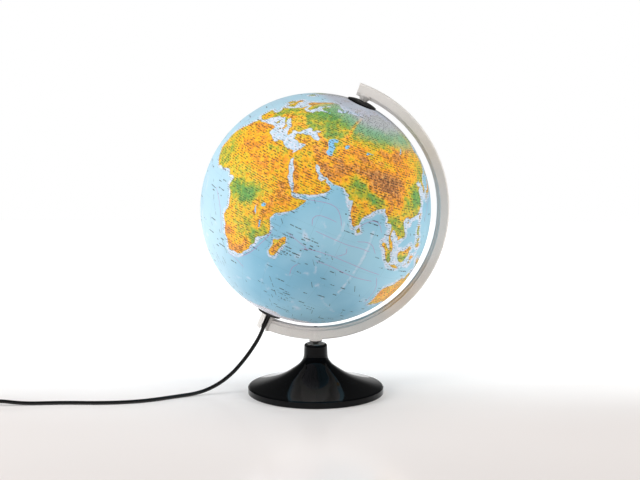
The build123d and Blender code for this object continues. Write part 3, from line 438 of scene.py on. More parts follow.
LAKES = outlines("""
    caspian: 47,45 49.5,46.5 53,46.8 53,45 50.5,44.5 51.5,43 53,42 52.8,40 53.8,37 51,36.7 49,37.7
    49.5,40.3 47.8,42.5 46.8,44.3
    aral: 58.3,44.5 59.5,46.3 61.5,46.6 61,44.5 59.5,43.6
    balkhash: 73.7,45.5 74.5,46.6 79.2,46.6 76,46 74.5,45
    baikal: 103.8,51.5 106,52.2 108,53.5 109.5,55.7 108.8,55.5 107,53.7 105,52
    nyanza: 31.8,-0.5 32.5,0.3 34,0 34,-1.5 33,-2.4 31.9,-2.4
    tanganyika: 29.1,-3.4 29.5,-3.3 29.9,-5 31,-8.2 30.8,-8.7 29.6,-6.8 29.2,-5
    malawi: 33.9,-9.6 34.5,-10.5 35,-13 35.2,-14.4 34.6,-14 34.2,-12 33.9,-10.5
    ladoga: 30,61 32.5,61.2 32.8,60.3 31,59.9
    superior: -92,46.7 -88,48.7 -84.7,46.7 -88,46.9
    michigan: -87.8,42 -87.5,44.5 -85,46 -86.3,43 -86.8,41.7
    huron: -84,46 -80,45 -82,43.2 -83.5,44
    erie: -83,41.7 -79,42.8 -80.5,42
    ontario: -79.5,43.3 -76.3,43.8 -77,43.3
""")

# Latitude of the southern ice's edge at each longitude.
ICE_EDGE = rows_of("""
    -180,-78 -165,-78.3 -155,-77 -145,-75.5 -130,-74.3 -110,-74.5 -100,-72.5 -85,-73.2 -75,-72.5 -68,-70
    -62,-64.5 -57.5,-63.3 -60,-77 -40,-78 -28,-76.5 -17,-72.8 -8,-71 0,-70.2 15,-70 30,-69.5 40,-68.8
    50,-66.8 57,-66.8 65,-67.8 71,-69.5 77,-69 88,-66.8 100,-66 112,-66.2 125,-66.5 136,-66.3 145,-67.2
    155,-69 165,-70.8 171,-72.5 180,-78
""")

# Mountain chains: width in degrees, height from 0 to 1, then the crest.
RIDGES = chains("""
    3,0.75 70,36 76,35 82,33 88,32 94,32 99,30
    3,0.7 76,37 84,36 92,36 100,36
    1.6,0.55 72,35 78,31 86,28 94,28.5
    1.8,0.55 42,38 46,34 52,30 57,28
    1.4,0.5 48,37.5 54,36 60,36.5
    1.3,0.6 39,44 44,43 48,41.3
    2.2,0.55 60,33 66,34.5 71,36.5
    1.6,0.55 70,42 78,42 86,43.5
    2.2,0.5 86,50 92,48.5 98,49 104,51
    1,0.65 57,50 59,56 60,62 65,67.5
    1.5,0.65 6,44.5 9,46.5 14,47
    1.3,0.45 18,49 23,48.5 25.5,46 22,45
    1.6,0.45 16,44 20,42 22,39
    2,0.4 28,38 34,38 40,39.5
    1.7,0.55 7,60 10,62.5 15,66 19,68.8
    2.6,0.6 38,14.5 38.5,11 38,8 41,8.5
    2.2,0.45 36,3 36,-1 35,-5 34,-9 34,-13
    1.4,0.4 29.5,1 29.5,-3 30,-8
    1.7,0.55 30,-24 29,-28 26,-31.5 21,-32.5
    1.4,0.45 -8,31 -3,33 3,35 8,35.5
    1.5,0.5 36.5,27 40,22 43,18 44.5,14.5
    1.2,0.5 73.8,20 75,15 77,10
    1.2,0.45 94,25 94,21 96,27
    0.9,0.6 96,4.2 99.5,0.3 102.5,-3.5 104.5,-5.3
    0.7,0.6 106.5,-6.9 110,-7.4 114,-8
    1.1,0.5 110.5,1 114,1.5 116.5,5
    1,0.5 136,35.3 138,36.3 140.5,39
    1.3,0.65 134,-3.5 139,-4.3 144,-6 148,-9
    1.5,0.4 145.5,-17 150,-24 152,-30 148,-36.5
    2,0.5 128,69 130,65 137,62
    2,0.5 138,69 145,65 152,63 162,66
    1.4,0.55 157,53 160,57 164,61
    2,0.4 110,52 118,55 128,55.5 135,56
    3,0.7 -150,64 -138,62 -126,57 -118,51 -112,44 -107,39 -106,33 -102,25
    1.5,0.4 -84,35 -80,38 -76,41 -71,44.5
    2.2,0.8 -75,5 -78,-1 -77,-9 -71,-15 -67,-20 -69,-27 -70,-34 -72,-45
    2.5,0.35 -42,-9 -44,-15 -46,-21 -51,-26
    1,0.55 48.5,-14.5 47,-19 46.3,-23.5
""")

# Broad country: place, size in degrees, and how far it lifts or lowers the tint.
COUNTRY = rows_of("""
    8,23,7,0.2 20,19,8,0.14 2,27,9,0.1 28,23,8,0.1 -6,14,8,-0.14 6,11,6,-0.1 17,13,7,-0.05 -4,8,4,-0.22
    20,0,5.5,-0.48 12,0,4,-0.35 25,2,5,-0.3 31,13,5,0.02 46,4,4,0.12 24,-10,9,-0.08 16,-13,5,0.16
    22,-23,7,0.04 17,-25,4,0.25 28,-19,6,-0.08 36,-17,3.5,-0.22 34.5,-22,3,-0.25 44,24,7,0.2
    52,20,5,0.08 56,32,6,0.2 63,30,5,0.18 69,28,3,-0.14 75,28,3.5,-0.12 82,26,3.5,-0.42 88,25,3.5,-0.45
    77,21,4,0 77,16,4,0.22 80.5,13,1.8,-0.2 50,48,4,-0.14 62,42,6,0.1 68,46,7,0.1 66,50,6,0.06
    84,39,5,0.18 90,34,7,0.15 104,42,8,0.24 101,48,5,0.18 96,37,5,0.12 103,34,4,0.14 115,34,5,-0.3
    118,31,4,-0.28 113,27,5,-0.18 125,45,5,-0.26 105,30,2.5,-0.22 101,26,3.5,0.18 101,16,4,-0.24
    106,12,3,-0.24 104,20,4,-0.05 96,19,2.5,-0.3 70,60,11,-0.18 82,63,9,-0.2 45,57,10,-0.08
    30,54,9,-0.12 20,52,6,-0.14 52,53,6,-0.04 5,48,6,-0.2 -4,40,4,0.14 66,57,8,-0.08 105,62,10,-0.05
    122,62,7,-0.22 114,50,6,0.12 30,62,7,-0.18 45,64,8,-0.2 -62,-5,9,-0.5 -55,-1,6,-0.45 -60,-25,6,-0.2
    -63,-34,5,-0.05 -92,40,9,-0.18 -82,33,5,-0.3 -100,47,8,0.02 -95,58,11,-0.34 -75,54,7,-0.22
    -105,65,9,-0.34 123,-26,9,0.18 134,-24,8,0.2 143,-28,5,0.02 118,-33,3,-0.15 113,-1,4,-0.3
    103,-2,3,-0.35 140,-7,3,-0.4 49.5,-17,1.5,-0.25 44.5,-18,1.3,-0.1 47,-22,2.5,0.2
""")

# Shallow seas: place, size in degrees, and how much wider the pale shelf is there.
SHALLOWS = rows_of("""
    18,38,6,1.6 4,41,4,1.2 27,34,5,1.6 34,43.5,3,1.4 38,20,6,2 52,27,3,2 71,19,3,1.6 90,21,3,1.2
    97,11,4,1.6 101,9,4,2 107,3,7,2.4 113,-5,5,2 110,19,4,1.6 119,25,4,2 123,32,5,2.4 121,38,4,2.4
    128,0,6,1.2 135,-9,6,2.4 118,-18,5,1.4 122,12,6,1.2 36,-19,3,1.2 24,-36,4,1.6 40,70,8,2 2,55,6,2
    20,58,6,2 -58,-46,6,2 -52,46,5,1.6 -90,27,4,1.2 -88,60,8,1.6 -170,62,7,2 150,57,5,1.2 49,-12,4,-1
    50,6,6,-1.2 60,23,3,-0.8 37,-5,5,-1 81,10,3,-0.6
""")

# Rises of the sea floor: width in degrees, strength, then the crest.
SEA_RISES = chains("""
    1.1,0.8 88.5,9 89,-5 88.5,-18 88,-31
    1.6,0.6 58,11 64,4 67,-3 67.5,-12 69,-20 70,-25
    1.5,0.5 70,-25 62,-29 54,-34 46,-39 36,-45 20,-52
    1.6,0.5 70,-25 77,-33 84,-40 98,-45 115,-49
    1.8,0.8 55.5,-4.5 60,-9 61,-14 58,-20
    1.1,0.7 72.5,10 73,4 72.5,-1 72,-6
    2.8,0.7 69,-48 75,-54
    1.5,0.5 46,-30 45,-36 44,-42
    2.2,0.5 38,-43 50,-46
    2,0.5 100,-31 110,-32
    2.5,0.6 -30,60 -31,48 -29,38 -42,27 -45,14 -30,1 -14,-8 -13,-28 -12,-48
    2.5,0.5 -110,20 -104,5 -108,-12 -113,-30 -118,-48
    1.6,0.5 172,52 168,40 -175,28 -162,21
    2,0.5 8,-24 0,-31 -8,-37
""")

# Sea currents drawn as thin curved lines.
CURRENTS = [rows_of(line) for line in """
    53,13 58,14.5 63,15.5 67,14.5 70,11 71.5,7
    58.5,1 57.5,4 59,7 63,7.8 68,7.5
    62,-2 67,-2.2 73,-2.6 79,-2.8 85,-2 90,-2.4
    94,-2 91,2 87,2.6 83,1.2
    80,9 83,13 87,15.5 91,14.5 93,11
    103,-14 95,-13.5 87,-12.8 79,-12.2 72,-12 65,-12.6 59,-14.5
    101,-19 92,-19.5 83,-18.8 75,-17.6 68,-18
    77,-10.5 80,-8 79,-5.5
    50.5,-10 55,-11.5 60,-13
    60,-24 58,-27 58.5,-31
    42,-13 40.5,-18 37.5,-24 34,-30 29,-34.5
    19,-37 23,-37.5 27,-38.5 30,-40
    111,-34 110,-28 108,-22 104,-17
    12,-28 10,-20 6,-13 0,-8
    -12,20 -18,28 -17,36
    -75,30 -68,38 -52,42 -36,47 -20,53
    -35,-10 -38,-20 -46,-30 -52,-38
    128,22 134,31 146,36 160,38
""".strip().splitlines()]


# ---------------- the map's fields
COAST_REACH = 4.0
LINE_REACH = 1.4
# The print is drawn a little off the true latitude: what is added to the true one, place by place.
PRINT_LATITUDES = (-90, -60, -30, -20, -7, 0, 10, 20, 35, 50, 90)
PRINT_SHIFTS = (0, -4.0, -4.2, -4.0, -2.6, -1.0, 1.2, 2.2, 1.3, 1.0, 0)


def unit_vectors(longitude, latitude):
    """Unit vectors of places in degrees, along a last axis of three."""
    longitude = np.radians(longitude)
    latitude = np.radians(latitude)
    level = np.cos(latitude)
    return np.stack((level * np.cos(longitude), level * np.sin(longitude), np.sin(latitude)), axis=-1)


def from_line(points, start, end):
    """Distance in degrees from each point to a line, and which side of it the point is on."""
    first = unit_vectors(*start)
    along = unit_vectors(*end) - first
    share = np.clip(((points - first) @ along) / (along @ along), 0, 1)
    distance = np.degrees(np.linalg.norm(points - first - share[..., None] * along, axis=-1))
    side = np.sign((points - first) @ np.cross(first, along))
    return distance, side


def rounded(line, passes=2):
    """The same open line with its corners cut twice over."""
    for _ in range(passes):
        cut = [line[0]]
        for (lon_a, lat_a), (lon_b, lat_b) in zip(line, line[1:]):
            for share in (0.25, 0.75):
                cut.append((lon_a + share * (lon_b - lon_a), lat_a + share * (lat_b - lat_a)))
        line = cut + [line[-1]]
    return line


class MapGrid:
    """Places of a shell's outer vertices on the map, row by row from the equator to the pole."""

    def __init__(self, longitudes, latitudes):
        self.longitudes = longitudes
        self.latitudes = latitudes
        self.points = unit_vectors(*np.meshgrid(longitudes, latitudes))
        self.shape = (len(latitudes), len(longitudes))

    def rows_near(self, places, reach):
        """Slice of the rows within reach of some places."""
        lows = min(place[1] for place in places) - reach
        highs = max(place[1] for place in places) + reach
        near = np.nonzero((self.latitudes >= lows) & (self.latitudes <= highs))[0]
        return slice(near[0], near[-1] + 1) if len(near) else slice(0, 0)

    def inside(self, outline):
        """Whether each place lies inside a closed outline."""
        found = np.zeros(self.shape, bool)
        for (lon_a, lat_a), (lon_b, lat_b) in zip(outline, outline[1:] + outline[:1]):
            above = self.latitudes > min(lat_a, lat_b)
            below = self.latitudes <= max(lat_a, lat_b)
            for row in np.nonzero(above & below)[0]:
                share = (self.latitudes[row] - lat_a) / (lat_b - lat_a)
                crossing = lon_a + share * (lon_b - lon_a)
                for wrap in (-360, 0, 360):
                    found[row] ^= self.longitudes > crossing + wrap
        return found

    def from_outlines(self, outlines):
        """Signed distance in degrees to the edge of the nearest outline, positive inside."""
        best = np.full(self.shape, -COAST_REACH)
        for outline in outlines.values():
            distance = np.full(self.shape, COAST_REACH)
            for start, end in zip(outline, outline[1:] + outline[:1]):
                rows = self.rows_near((start, end), COAST_REACH)
                distance[rows] = np.minimum(distance[rows], from_line(self.points[rows], start, end)[0])
            best = np.maximum(best, np.where(self.inside(outline), distance, -distance))
        return best

    def from_ice(self):
        """Distance in degrees inside the southern ice."""
        edge = np.interp(self.longitudes, *zip(*ICE_EDGE))
        return np.clip(edge[None, :] - self.latitudes[:, None], -COAST_REACH, COAST_REACH)

    def chains(self, rows_of_chains):
        """Height of chains given by width, strength and crest."""
        total = np.zeros(self.shape)
        for width, strength, crest in rows_of_chains:
            distance = np.full(self.shape, 90.0)
            for start, end in zip(crest, crest[1:]):
                distance = np.minimum(distance, from_line(self.points, start, end)[0])
            total = np.maximum(total, strength * np.exp(-((distance / width) ** 2)))
        return total

    def patches(self, rows_of_patches):
        """Sum of soft round patches given by place, size and lift."""
        total = np.zeros(self.shape)
        for longitude, latitude, size, lift in rows_of_patches:
            place = unit_vectors(longitude, latitude)
            distance = np.degrees(np.linalg.norm(self.points - place, axis=-1))
            total += lift * np.exp(-((distance / size) ** 2))
        return total

    def currents(self):
        """Signed offset from the nearest current line, and whether that line is near."""
        offset = np.full(self.shape, LINE_REACH)
        near = np.zeros(self.shape)
        best = np.full(self.shape, 90.0)
        for line in map(rounded, CURRENTS):
            for start, end in zip(line, line[1:]):
                rows = self.rows_near((start, end), LINE_REACH)
                distance, side = from_line(self.points[rows], start, end)
                closer = distance < best[rows]
                best[rows] = np.where(closer, distance, best[rows])
                offset[rows] = np.where(closer, side * distance, offset[rows])
                near[rows] = np.where(closer, distance < LINE_REACH, near[rows])
        return offset, near


# ---------------- the globe's printed shells
SPIN_CENTRE = Vector(joints["globe_spin"]["pos_m"])
SPIN_AXIS = Vector(joints["globe_spin"]["axis"])
GLOBE_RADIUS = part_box("north_hemisphere")[1].y
GLOBE_WALL = 0.0018
FRONT_LONGITUDE = 60.17
RELIEF_HEIGHT = 0.0005
COUNTRY_RELIEF = 0.15
SHORE_WIDTH = 1.2
SHARP_ANGLE = 40
SEAM_DEPTH = 0.00012
NORTH_HOLE_RADIUS = 0.0057
SOUTH_HOLE_RADIUS = 0.0142
MAP_COLUMNS = 600
OUTER_ROWS = 134
INNER_ROWS = 18


def globe_place(longitude, latitude, radius):
    """Place of map coordinates at a radius, in the model's frame."""
    turn = np.radians(longitude - FRONT_LONGITUDE)
    level = radius * np.cos(np.radians(latitude))
    across = Vector((0, 1, 0)).cross(SPIN_AXIS)
    sideways = level * np.sin(turn)
    backwards = -level * np.cos(turn)
    upwards = radius * np.sin(np.radians(latitude))
    centre = np.array(SPIN_CENTRE)
    return (
        centre
        + sideways[..., None] * np.array(across)
        + backwards[..., None] * np.array((0, 1, 0))
        + upwards[..., None] * np.array(SPIN_AXIS)
    )


def ring_faces(rows, columns, flip):
    """Quads between neighbouring rows of a closed band, with their corners' row and column."""
    row, column = np.meshgrid(np.arange(rows - 1), np.arange(columns), indexing="ij")
    corners = [(row, column), (row, column + 1), (row + 1, column + 1), (row + 1, column)]
    if flip:
        corners.reverse()
    corner_rows = np.stack([corner[0].ravel() for corner in corners], axis=1)
    corner_columns = np.stack([corner[1].ravel() for corner in corners], axis=1)
    return corner_rows, corner_columns


def make_shell(name, node, side, hole):
    """Printed half of the globe: a closed shell with relief outside and a plain face inside."""
    pole_end = math.degrees(math.acos(hole / GLOBE_RADIUS))
    true_latitudes = side * np.linspace(0, pole_end, OUTER_ROWS)
    inner_latitudes = side * np.linspace(pole_end, 0, INNER_ROWS)
    map_latitudes = true_latitudes + np.interp(true_latitudes, PRINT_LATITUDES, PRINT_SHIFTS)
    longitudes = np.arange(MAP_COLUMNS) * 360 / MAP_COLUMNS - 180
    grid = MapGrid(longitudes, map_latitudes)

    fields = {
        "coast": grid.from_outlines(LAND), "lake": grid.from_outlines(LAKES), "ice": grid.from_ice(),
        "ridges": grid.chains(RIDGES), "lift": grid.patches(COUNTRY), "rises": grid.chains(SEA_RISES),
        "shallows": grid.patches(SHALLOWS),
    }
    fields["coast"] = np.maximum(fields["coast"], fields["ice"])
    fields["current"], fields["current_near"] = grid.currents()

    on_land = np.clip(np.minimum(fields["coast"], -fields["lake"]) / SHORE_WIDTH, 0, 1)
    height = np.clip(fields["ridges"] + COUNTRY_RELIEF * fields["lift"], 0, 1)
    radius = GLOBE_RADIUS + RELIEF_HEIGHT * on_land * height
    radius[0] -= SEAM_DEPTH
    radius[-1] = GLOBE_RADIUS
    outer_longitudes, outer_latitudes = np.meshgrid(longitudes, true_latitudes)
    outer = globe_place(outer_longitudes, outer_latitudes, radius)
    inner_longitudes, inner_grid = np.meshgrid(longitudes, inner_latitudes)
    inner_radius = np.full(inner_grid.shape, GLOBE_RADIUS - GLOBE_WALL)
    inner = globe_place(inner_longitudes, inner_grid, inner_radius)

    rows = OUTER_ROWS + INNER_ROWS
    places = np.concatenate((outer, inner)).reshape(-1, 3)
    corner_rows, corner_columns = ring_faces(rows + 1, MAP_COLUMNS, side < 0)
    faces = (corner_rows % rows) * MAP_COLUMNS + corner_columns % MAP_COLUMNS
    mesh = bpy.data.meshes.new(name)
    mesh.from_pydata(places.tolist(), [], faces.tolist())

    shown_latitudes = np.concatenate((map_latitudes, inner_latitudes))
    layer = mesh.uv_layers.new(name="map")
    across = corner_columns / MAP_COLUMNS
    upwards = (shown_latitudes[corner_rows % rows] + 90) / 180
    layer.uv.foreach_set("vector", np.stack((across, upwards), axis=-1).ravel())
    for field, values in fields.items():
        attribute = mesh.attributes.new(field, "FLOAT", "POINT")
        padded = np.concatenate((values, np.zeros((INNER_ROWS, MAP_COLUMNS))))
        attribute.data.foreach_set("value", padded.ravel().astype(np.float32))
    outside = mesh.attributes.new("outside", "FLOAT", "POINT")
    shown = np.repeat((1.0, 0.0), (OUTER_ROWS * MAP_COLUMNS, INNER_ROWS * MAP_COLUMNS))
    outside.data.foreach_set("value", shown.astype(np.float32))
    mesh.shade_smooth()
    mesh.set_sharp_from_angle(angle=math.radians(SHARP_ANGLE))
    mesh.validate()

    shell = add_object(name, mesh)
    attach(shell, "globe")
    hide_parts(node)
    return shell


# ---------------- the map's print
LAND_TINTS = [
    (0.00, tone(94, 158, 82)),
    (0.16, tone(142, 168, 62)),
    (0.30, tone(206, 186, 56)),
    (0.44, tone(242, 182, 44)),
    (0.60, tone(232, 150, 50)),
    (0.80, tone(202, 134, 76)),
    (1.00, tone(160, 106, 68)),
]
# Paler western sea: part print tint, part painted sheen where the left softbox lights the globe's limb.
SEA_WEST_AND_SHEEN = tone(172, 202, 216)
SEA_LIGHT = tone(150, 196, 216)
SEA_DEEP = tone(120, 174, 200)
SHELF = tone(214, 216, 230)
TUNDRA_NEAR = tone(132, 176, 148)
TUNDRA_FAR = tone(176, 176, 186)
POLAR_ICE = tone(222, 222, 232)
LAKE_BLUE = tone(128, 186, 222)
COAST_LINE = tone(120, 84, 40)
RELIEF_INK = tone(104, 66, 34)
RELIEF_LIGHT = tone(236, 196, 112)
PRINT_INK = tone(40, 44, 48)
CURRENT_INK = tone(176, 110, 168)
SHELL_PLASTIC = tone(236, 236, 232)
MAP_GLOW = 0.06

# Noises of the print: bumps in each metre, detail, roughness and offset.
COAST_NOISE = (70.0, 7.0, 0.62)
BROAD_NOISE = (16.0, 4.0, 0.55, 3.0)
HILLY_NOISE = (52.0, 4.0, 0.6, 6.0)
FINE_NOISE = (150.0, 5.0, 0.65, 8.0)
GRAIN_NOISE = (300.0, 3.0, 0.7, 15.0)
SEA_NOISE = (9.0, 3.0, 0.5, 21.0)
RISE_NOISE = (75.0, 5.0, 0.65, 30.0)
SHELF_NOISE = (40.0, 4.0, 0.65, 41.0)
SPECKLE_NOISE = (260.0, 3.0, 0.6, 44.0)
VARNISH_NOISE = (700.0, 2.0, 0.5, 50.0)
GLOSS_NOISE = (90.0, 3.0, 0.5, 60.0)
CROWD_NOISE = (12.0, 2.0, 0.5, 70.0)

# The land's tint is picked by a height, which these make up.
LOWLAND_HEIGHT = 0.36
RIDGE_HEIGHT = 0.42
COUNTRY_HEIGHT = 0.8
BROAD_AMOUNT = 0.5
HILLY_AMOUNT = 0.75
FINE_AMOUNT = 1.15

# How far noise spreads the strength of the sea floor's rises, and other edges in degrees.
RISE_AMOUNT = 3.4
COAST_AMOUNT = 3.0
SHELF_AMOUNT = 5.0
TUNDRA_AMOUNT = 16.0

# Marks: row height and cell width in degrees, share of the cells used, seed, half of the stroke's
# width as a share of the row, and gaps in each metre.
LAND_MARKS = (1.2, 3.0, 0.74, 5.0, 0.22, 900.0)
OPEN_SEA_MARKS = (1.8, 6.5, 0.11, 9.0, 0.16, 300.0)
CROWDED_MARKS = (1.5, 4.0, 0.4, 17.0, 0.2, 500.0)
COAST_MARKS = (1.1, 2.4, 0.7, 12.0, 0.2, 900.0)
LEADERS = (5.5, 8.0, 0.13, 23.0, 0.045, 25.0)
LEADER_SLANT = 1.4

# Middle of the sea's crowded patch of marks, and half of its width and height, in degrees.
CROWD_PLACE = (59.0, -15.0)
CROWD_SIZE = (14.0, 9.0)

# Strength of each ink.
STROKE_STRENGTH = 0.75
SLOPE_STRENGTH = 0.4
LAND_MARK_STRENGTH = 0.9
SEA_MARK_STRENGTH = 0.85
GRATICULE_STRENGTH = 0.22
SHORELINE_STRENGTH = 0.5

# Graticule and current lines, in degrees.
GRATICULE_STEP = 15.0
MERIDIAN_HALF_WIDTH = 0.06
PARALLEL_HALF_WIDTH = 0.05
CURRENT_HALF_WIDTH = 0.14


def text_marks(kit, longitude, latitude, style):
    """Rows of short broken dashes along the parallels, standing for small print."""
    row_height, cell_width, share, seed, thickness, gaps = style
    row = kit.math("FLOOR", kit.math("DIVIDE", latitude, row_height))
    row_noise = kit.put("TexWhiteNoise", {"W": kit.plus(row, seed)}, noise_dimensions="1D")
    shifted = kit.plus(kit.math("DIVIDE", longitude, cell_width), kit.times(row_noise, 7.0))
    cell = kit.math("FLOOR", shifted)
    spot = kit.put("CombineXYZ", {"X": cell, "Y": row, "Z": seed})
    chance = kit.put("TexWhiteNoise", {"Vector": spot}, noise_dimensions="3D")
    chosen = kit.math("LESS_THAN", chance, share)
    along = kit.math("FRACT", shifted)
    length = kit.fit(chance, 0.0, share, 0.35, 0.9)
    dash = kit.math("LESS_THAN", along, length)
    height = kit.math("FRACT", kit.math("DIVIDE", latitude, row_height))
    thin = kit.math("COMPARE", height, 0.5, thickness)
    broken = kit.fit(kit.noise(gaps, 1.0, 0.5, seed), 0.40, 0.50)
    return kit.times(chosen, dash, thin, broken)


def line_every(kit, degrees_value, step, half_width):
    """Thin line at each multiple of a step in degrees."""
    waves = kit.math("PINGPONG", degrees_value, step / 2)
    return kit.math("LESS_THAN", waves, half_width)


def spread(kit, noise, amount):
    """Noise of 0 to 1 turned into an offset of up to half an amount each way."""
    return kit.math("MULTIPLY_ADD", noise, amount, -amount / 2)


def land_colour(kit, longitude, latitude, fine):
    """Physical tints: green lowland to brown mountains, then tundra and ice."""
    broad = kit.noise(*BROAD_NOISE)
    hilly = kit.noise(*HILLY_NOISE)
    lift = kit.times(kit.value("lift"), COUNTRY_HEIGHT)
    relief = kit.plus(
        kit.math("MULTIPLY_ADD", kit.value("ridges"), RIDGE_HEIGHT, lift),
        spread(kit, broad, BROAD_AMOUNT),
        spread(kit, hilly, HILLY_AMOUNT),
        spread(kit, fine, FINE_AMOUNT),
        LOWLAND_HEIGHT,
    )
    ground = kit.ramp(relief, LAND_TINTS)

    grain = kit.noise(*GRAIN_NOISE)
    rough_country = kit.fit(kit.value("ridges"), 0.05, 0.5, 0.45, 1.0)
    strokes = kit.times(kit.fit(grain, 0.48, 0.62), rough_country, STROKE_STRENGTH)
    ground = kit.mix(strokes, ground, RELIEF_INK)
    slopes = kit.times(kit.fit(grain, 0.50, 0.38), rough_country, SLOPE_STRENGTH)
    ground = kit.mix(slopes, ground, RELIEF_LIGHT)

    northwards = kit.plus(latitude, spread(kit, broad, TUNDRA_AMOUNT))
    northwards = kit.math("SUBTRACT", northwards, kit.fit(longitude, 25.0, 75.0, 6.0, 0.0))
    bare = kit.fit(kit.value("ridges"), 0.3, 0.55, 1.0, 0.25)
    cold = kit.times(kit.fit(northwards, 52.0, 61.0, 0.0, 0.8), bare)
    ground = kit.mix(cold, ground, TUNDRA_NEAR)
    ground = kit.mix(kit.fit(northwards, 60.0, 68.0, 0.0, 0.85), ground, TUNDRA_FAR)
    return kit.mix(kit.fit(kit.value("ice"), -0.3, 0.1), ground, POLAR_ICE)


def sea_colour(kit, longitude, latitude, coast):
    """Blue sea with pale rises of its floor, pale shelves along the coasts, polar ice, and a paler
    western sea that is part print tint and part painted sheen on the globe's left side.
    """
    open_sea = kit.fit(kit.noise(*SEA_NOISE), 0.35, 0.65)
    sea = kit.mix(open_sea, SEA_LIGHT, SEA_DEEP)
    # Painted sheen: the sea from 80 west to 45 east, on the globe's left side, is turned paler, partly
    # as print tint.
    western_sheen = kit.times(kit.fit(longitude, -80.0, -30.0), kit.fit(longitude, 5.0, 45.0, 0.8, 0.0))
    sea = kit.mix(western_sheen, sea, SEA_WEST_AND_SHEEN)
    rises = kit.plus(kit.value("rises"), spread(kit, kit.noise(*RISE_NOISE), RISE_AMOUNT))
    sea = kit.mix(kit.fit(rises, 0.45, 1.2, 0.0, 0.5), sea, SHELF)
    ragged = spread(kit, kit.noise(*SHELF_NOISE), SHELF_AMOUNT)
    shelf_edge = kit.plus(coast, kit.value("shallows"), ragged)
    speckle = kit.fit(kit.noise(*SPECKLE_NOISE), 0.38, 0.6, 0.3, 1.0)
    shelf = kit.times(kit.fit(shelf_edge, -1.7, -0.7, 0.0, 0.9), speckle)
    sea = kit.mix(shelf, sea, SHELF)
    return kit.mix(kit.fit(latitude, 66.0, 74.0, 0.0, 0.85), sea, TUNDRA_FAR)


def add_print(kit, shown, longitude, latitude, coast, land):
    """Overprint of dashes, graticule and current lines."""
    away_from_pole = kit.fit(kit.math("ABSOLUTE", latitude), 78.0, 84.0, 1.0, 0.0)
    at_sea = kit.math("SUBTRACT", away_from_pole, land, clamp=True)

    land_marks = text_marks(kit, longitude, latitude, LAND_MARKS)
    inked = kit.times(land_marks, kit.times(land, away_from_pole), LAND_MARK_STRENGTH)
    shown = kit.mix(inked, shown, PRINT_INK)

    across, upwards = [
        kit.math("DIVIDE", kit.math("SUBTRACT", value, middle), half)
        for value, middle, half in zip((longitude, latitude), CROWD_PLACE, CROWD_SIZE)
    ]
    apart = kit.math("MULTIPLY_ADD", across, across, kit.times(upwards, upwards))
    patches = kit.fit(kit.noise(*CROWD_NOISE), 0.55, 0.62)
    patches = kit.times(patches, kit.fit(kit.math("ABSOLUTE", longitude), 35.0, 45.0))
    crowded = kit.highest(patches, kit.fit(apart, 0.6, 1.1, 1.0, 0.0))
    slanted = kit.math("MULTIPLY_ADD", latitude, -LEADER_SLANT, longitude)
    upright = kit.math("MULTIPLY_ADD", longitude, LEADER_SLANT, latitude)
    sea_marks = kit.highest(
        text_marks(kit, longitude, latitude, OPEN_SEA_MARKS),
        kit.times(text_marks(kit, slanted, upright, LEADERS), kit.fit(coast, -2.0, -3.0)),
        kit.times(text_marks(kit, longitude, latitude, CROWDED_MARKS), crowded),
        kit.times(text_marks(kit, longitude, latitude, COAST_MARKS), kit.fit(coast, -2.6, -0.8)),
    )
    shown = kit.mix(kit.times(sea_marks, at_sea, SEA_MARK_STRENGTH), shown, PRINT_INK)

    meridians = line_every(kit, longitude, GRATICULE_STEP, MERIDIAN_HALF_WIDTH)
    parallels = line_every(kit, latitude, GRATICULE_STEP, PARALLEL_HALF_WIDTH)
    lines = kit.highest(kit.times(meridians, away_from_pole), parallels)
    shown = kit.mix(kit.times(lines, GRATICULE_STRENGTH), shown, PRINT_INK)

    flow = kit.math("COMPARE", kit.value("current"), 0.0, CURRENT_HALF_WIDTH)
    near = kit.fit(kit.value("current_near"), 0.9, 1.0, 0.0, 0.7)
    return kit.mix(kit.times(flow, near, kit.math("SUBTRACT", 1.0, land)), shown, CURRENT_INK)


def map_material():
    """Printed relief map under satin varnish, lit a little from inside."""
    kit = Nodes("map_print")
    uv = kit.put("UVMap", uv_map="map")
    split = kit.put("SeparateXYZ", {"Vector": uv})
    longitude = kit.math("MULTIPLY_ADD", split.node.outputs["X"], 360.0, -180.0)
    latitude = kit.math("MULTIPLY_ADD", split.node.outputs["Y"], 180.0, -90.0)

    wobble = spread(kit, kit.noise(*COAST_NOISE), COAST_AMOUNT)
    coast = kit.plus(kit.value("coast"), wobble)
    land = kit.fit(coast, -0.06, 0.06)
    lake = kit.fit(kit.plus(kit.value("lake"), kit.times(wobble, 0.4)), -0.05, 0.05)

    fine = kit.noise(*FINE_NOISE)
    ground = land_colour(kit, longitude, latitude, fine)
    shown = kit.mix(land, sea_colour(kit, longitude, latitude, coast), ground)
    shoreline = kit.math("COMPARE", coast, 0.05, 0.10)
    shown = kit.mix(kit.times(shoreline, SHORELINE_STRENGTH), shown, COAST_LINE)
    shown = kit.mix(kit.times(lake, land), shown, LAKE_BLUE)
    shown = add_print(kit, shown, longitude, latitude, coast, land)
    shown = kit.mix(kit.value("outside"), SHELL_PLASTIC, shown)

    shape = kit.bump(kit.times(fine, kit.value("ridges"), land), 0.0009, 0.6)
    return kit.set(
        Base_Color=shown,
        Roughness=kit.fit(kit.noise(*GLOSS_NOISE), 0.3, 0.7, 0.38, 0.48),
        Normal=kit.bump(kit.noise(*VARNISH_NOISE), 0.00003, 0.5, shape),
        Emission_Color=shown,
        Emission_Strength=MAP_GLOW,
        Specular_IOR_Level=0.35,
    )


map_print = map_material()
map_north = make_shell("map_north", "north_hemisphere", 1, NORTH_HOLE_RADIUS)
map_south = make_shell("map_south", "south_hemisphere", -1, SOUTH_HOLE_RADIUS)
paint(map_print, map_north, map_south)


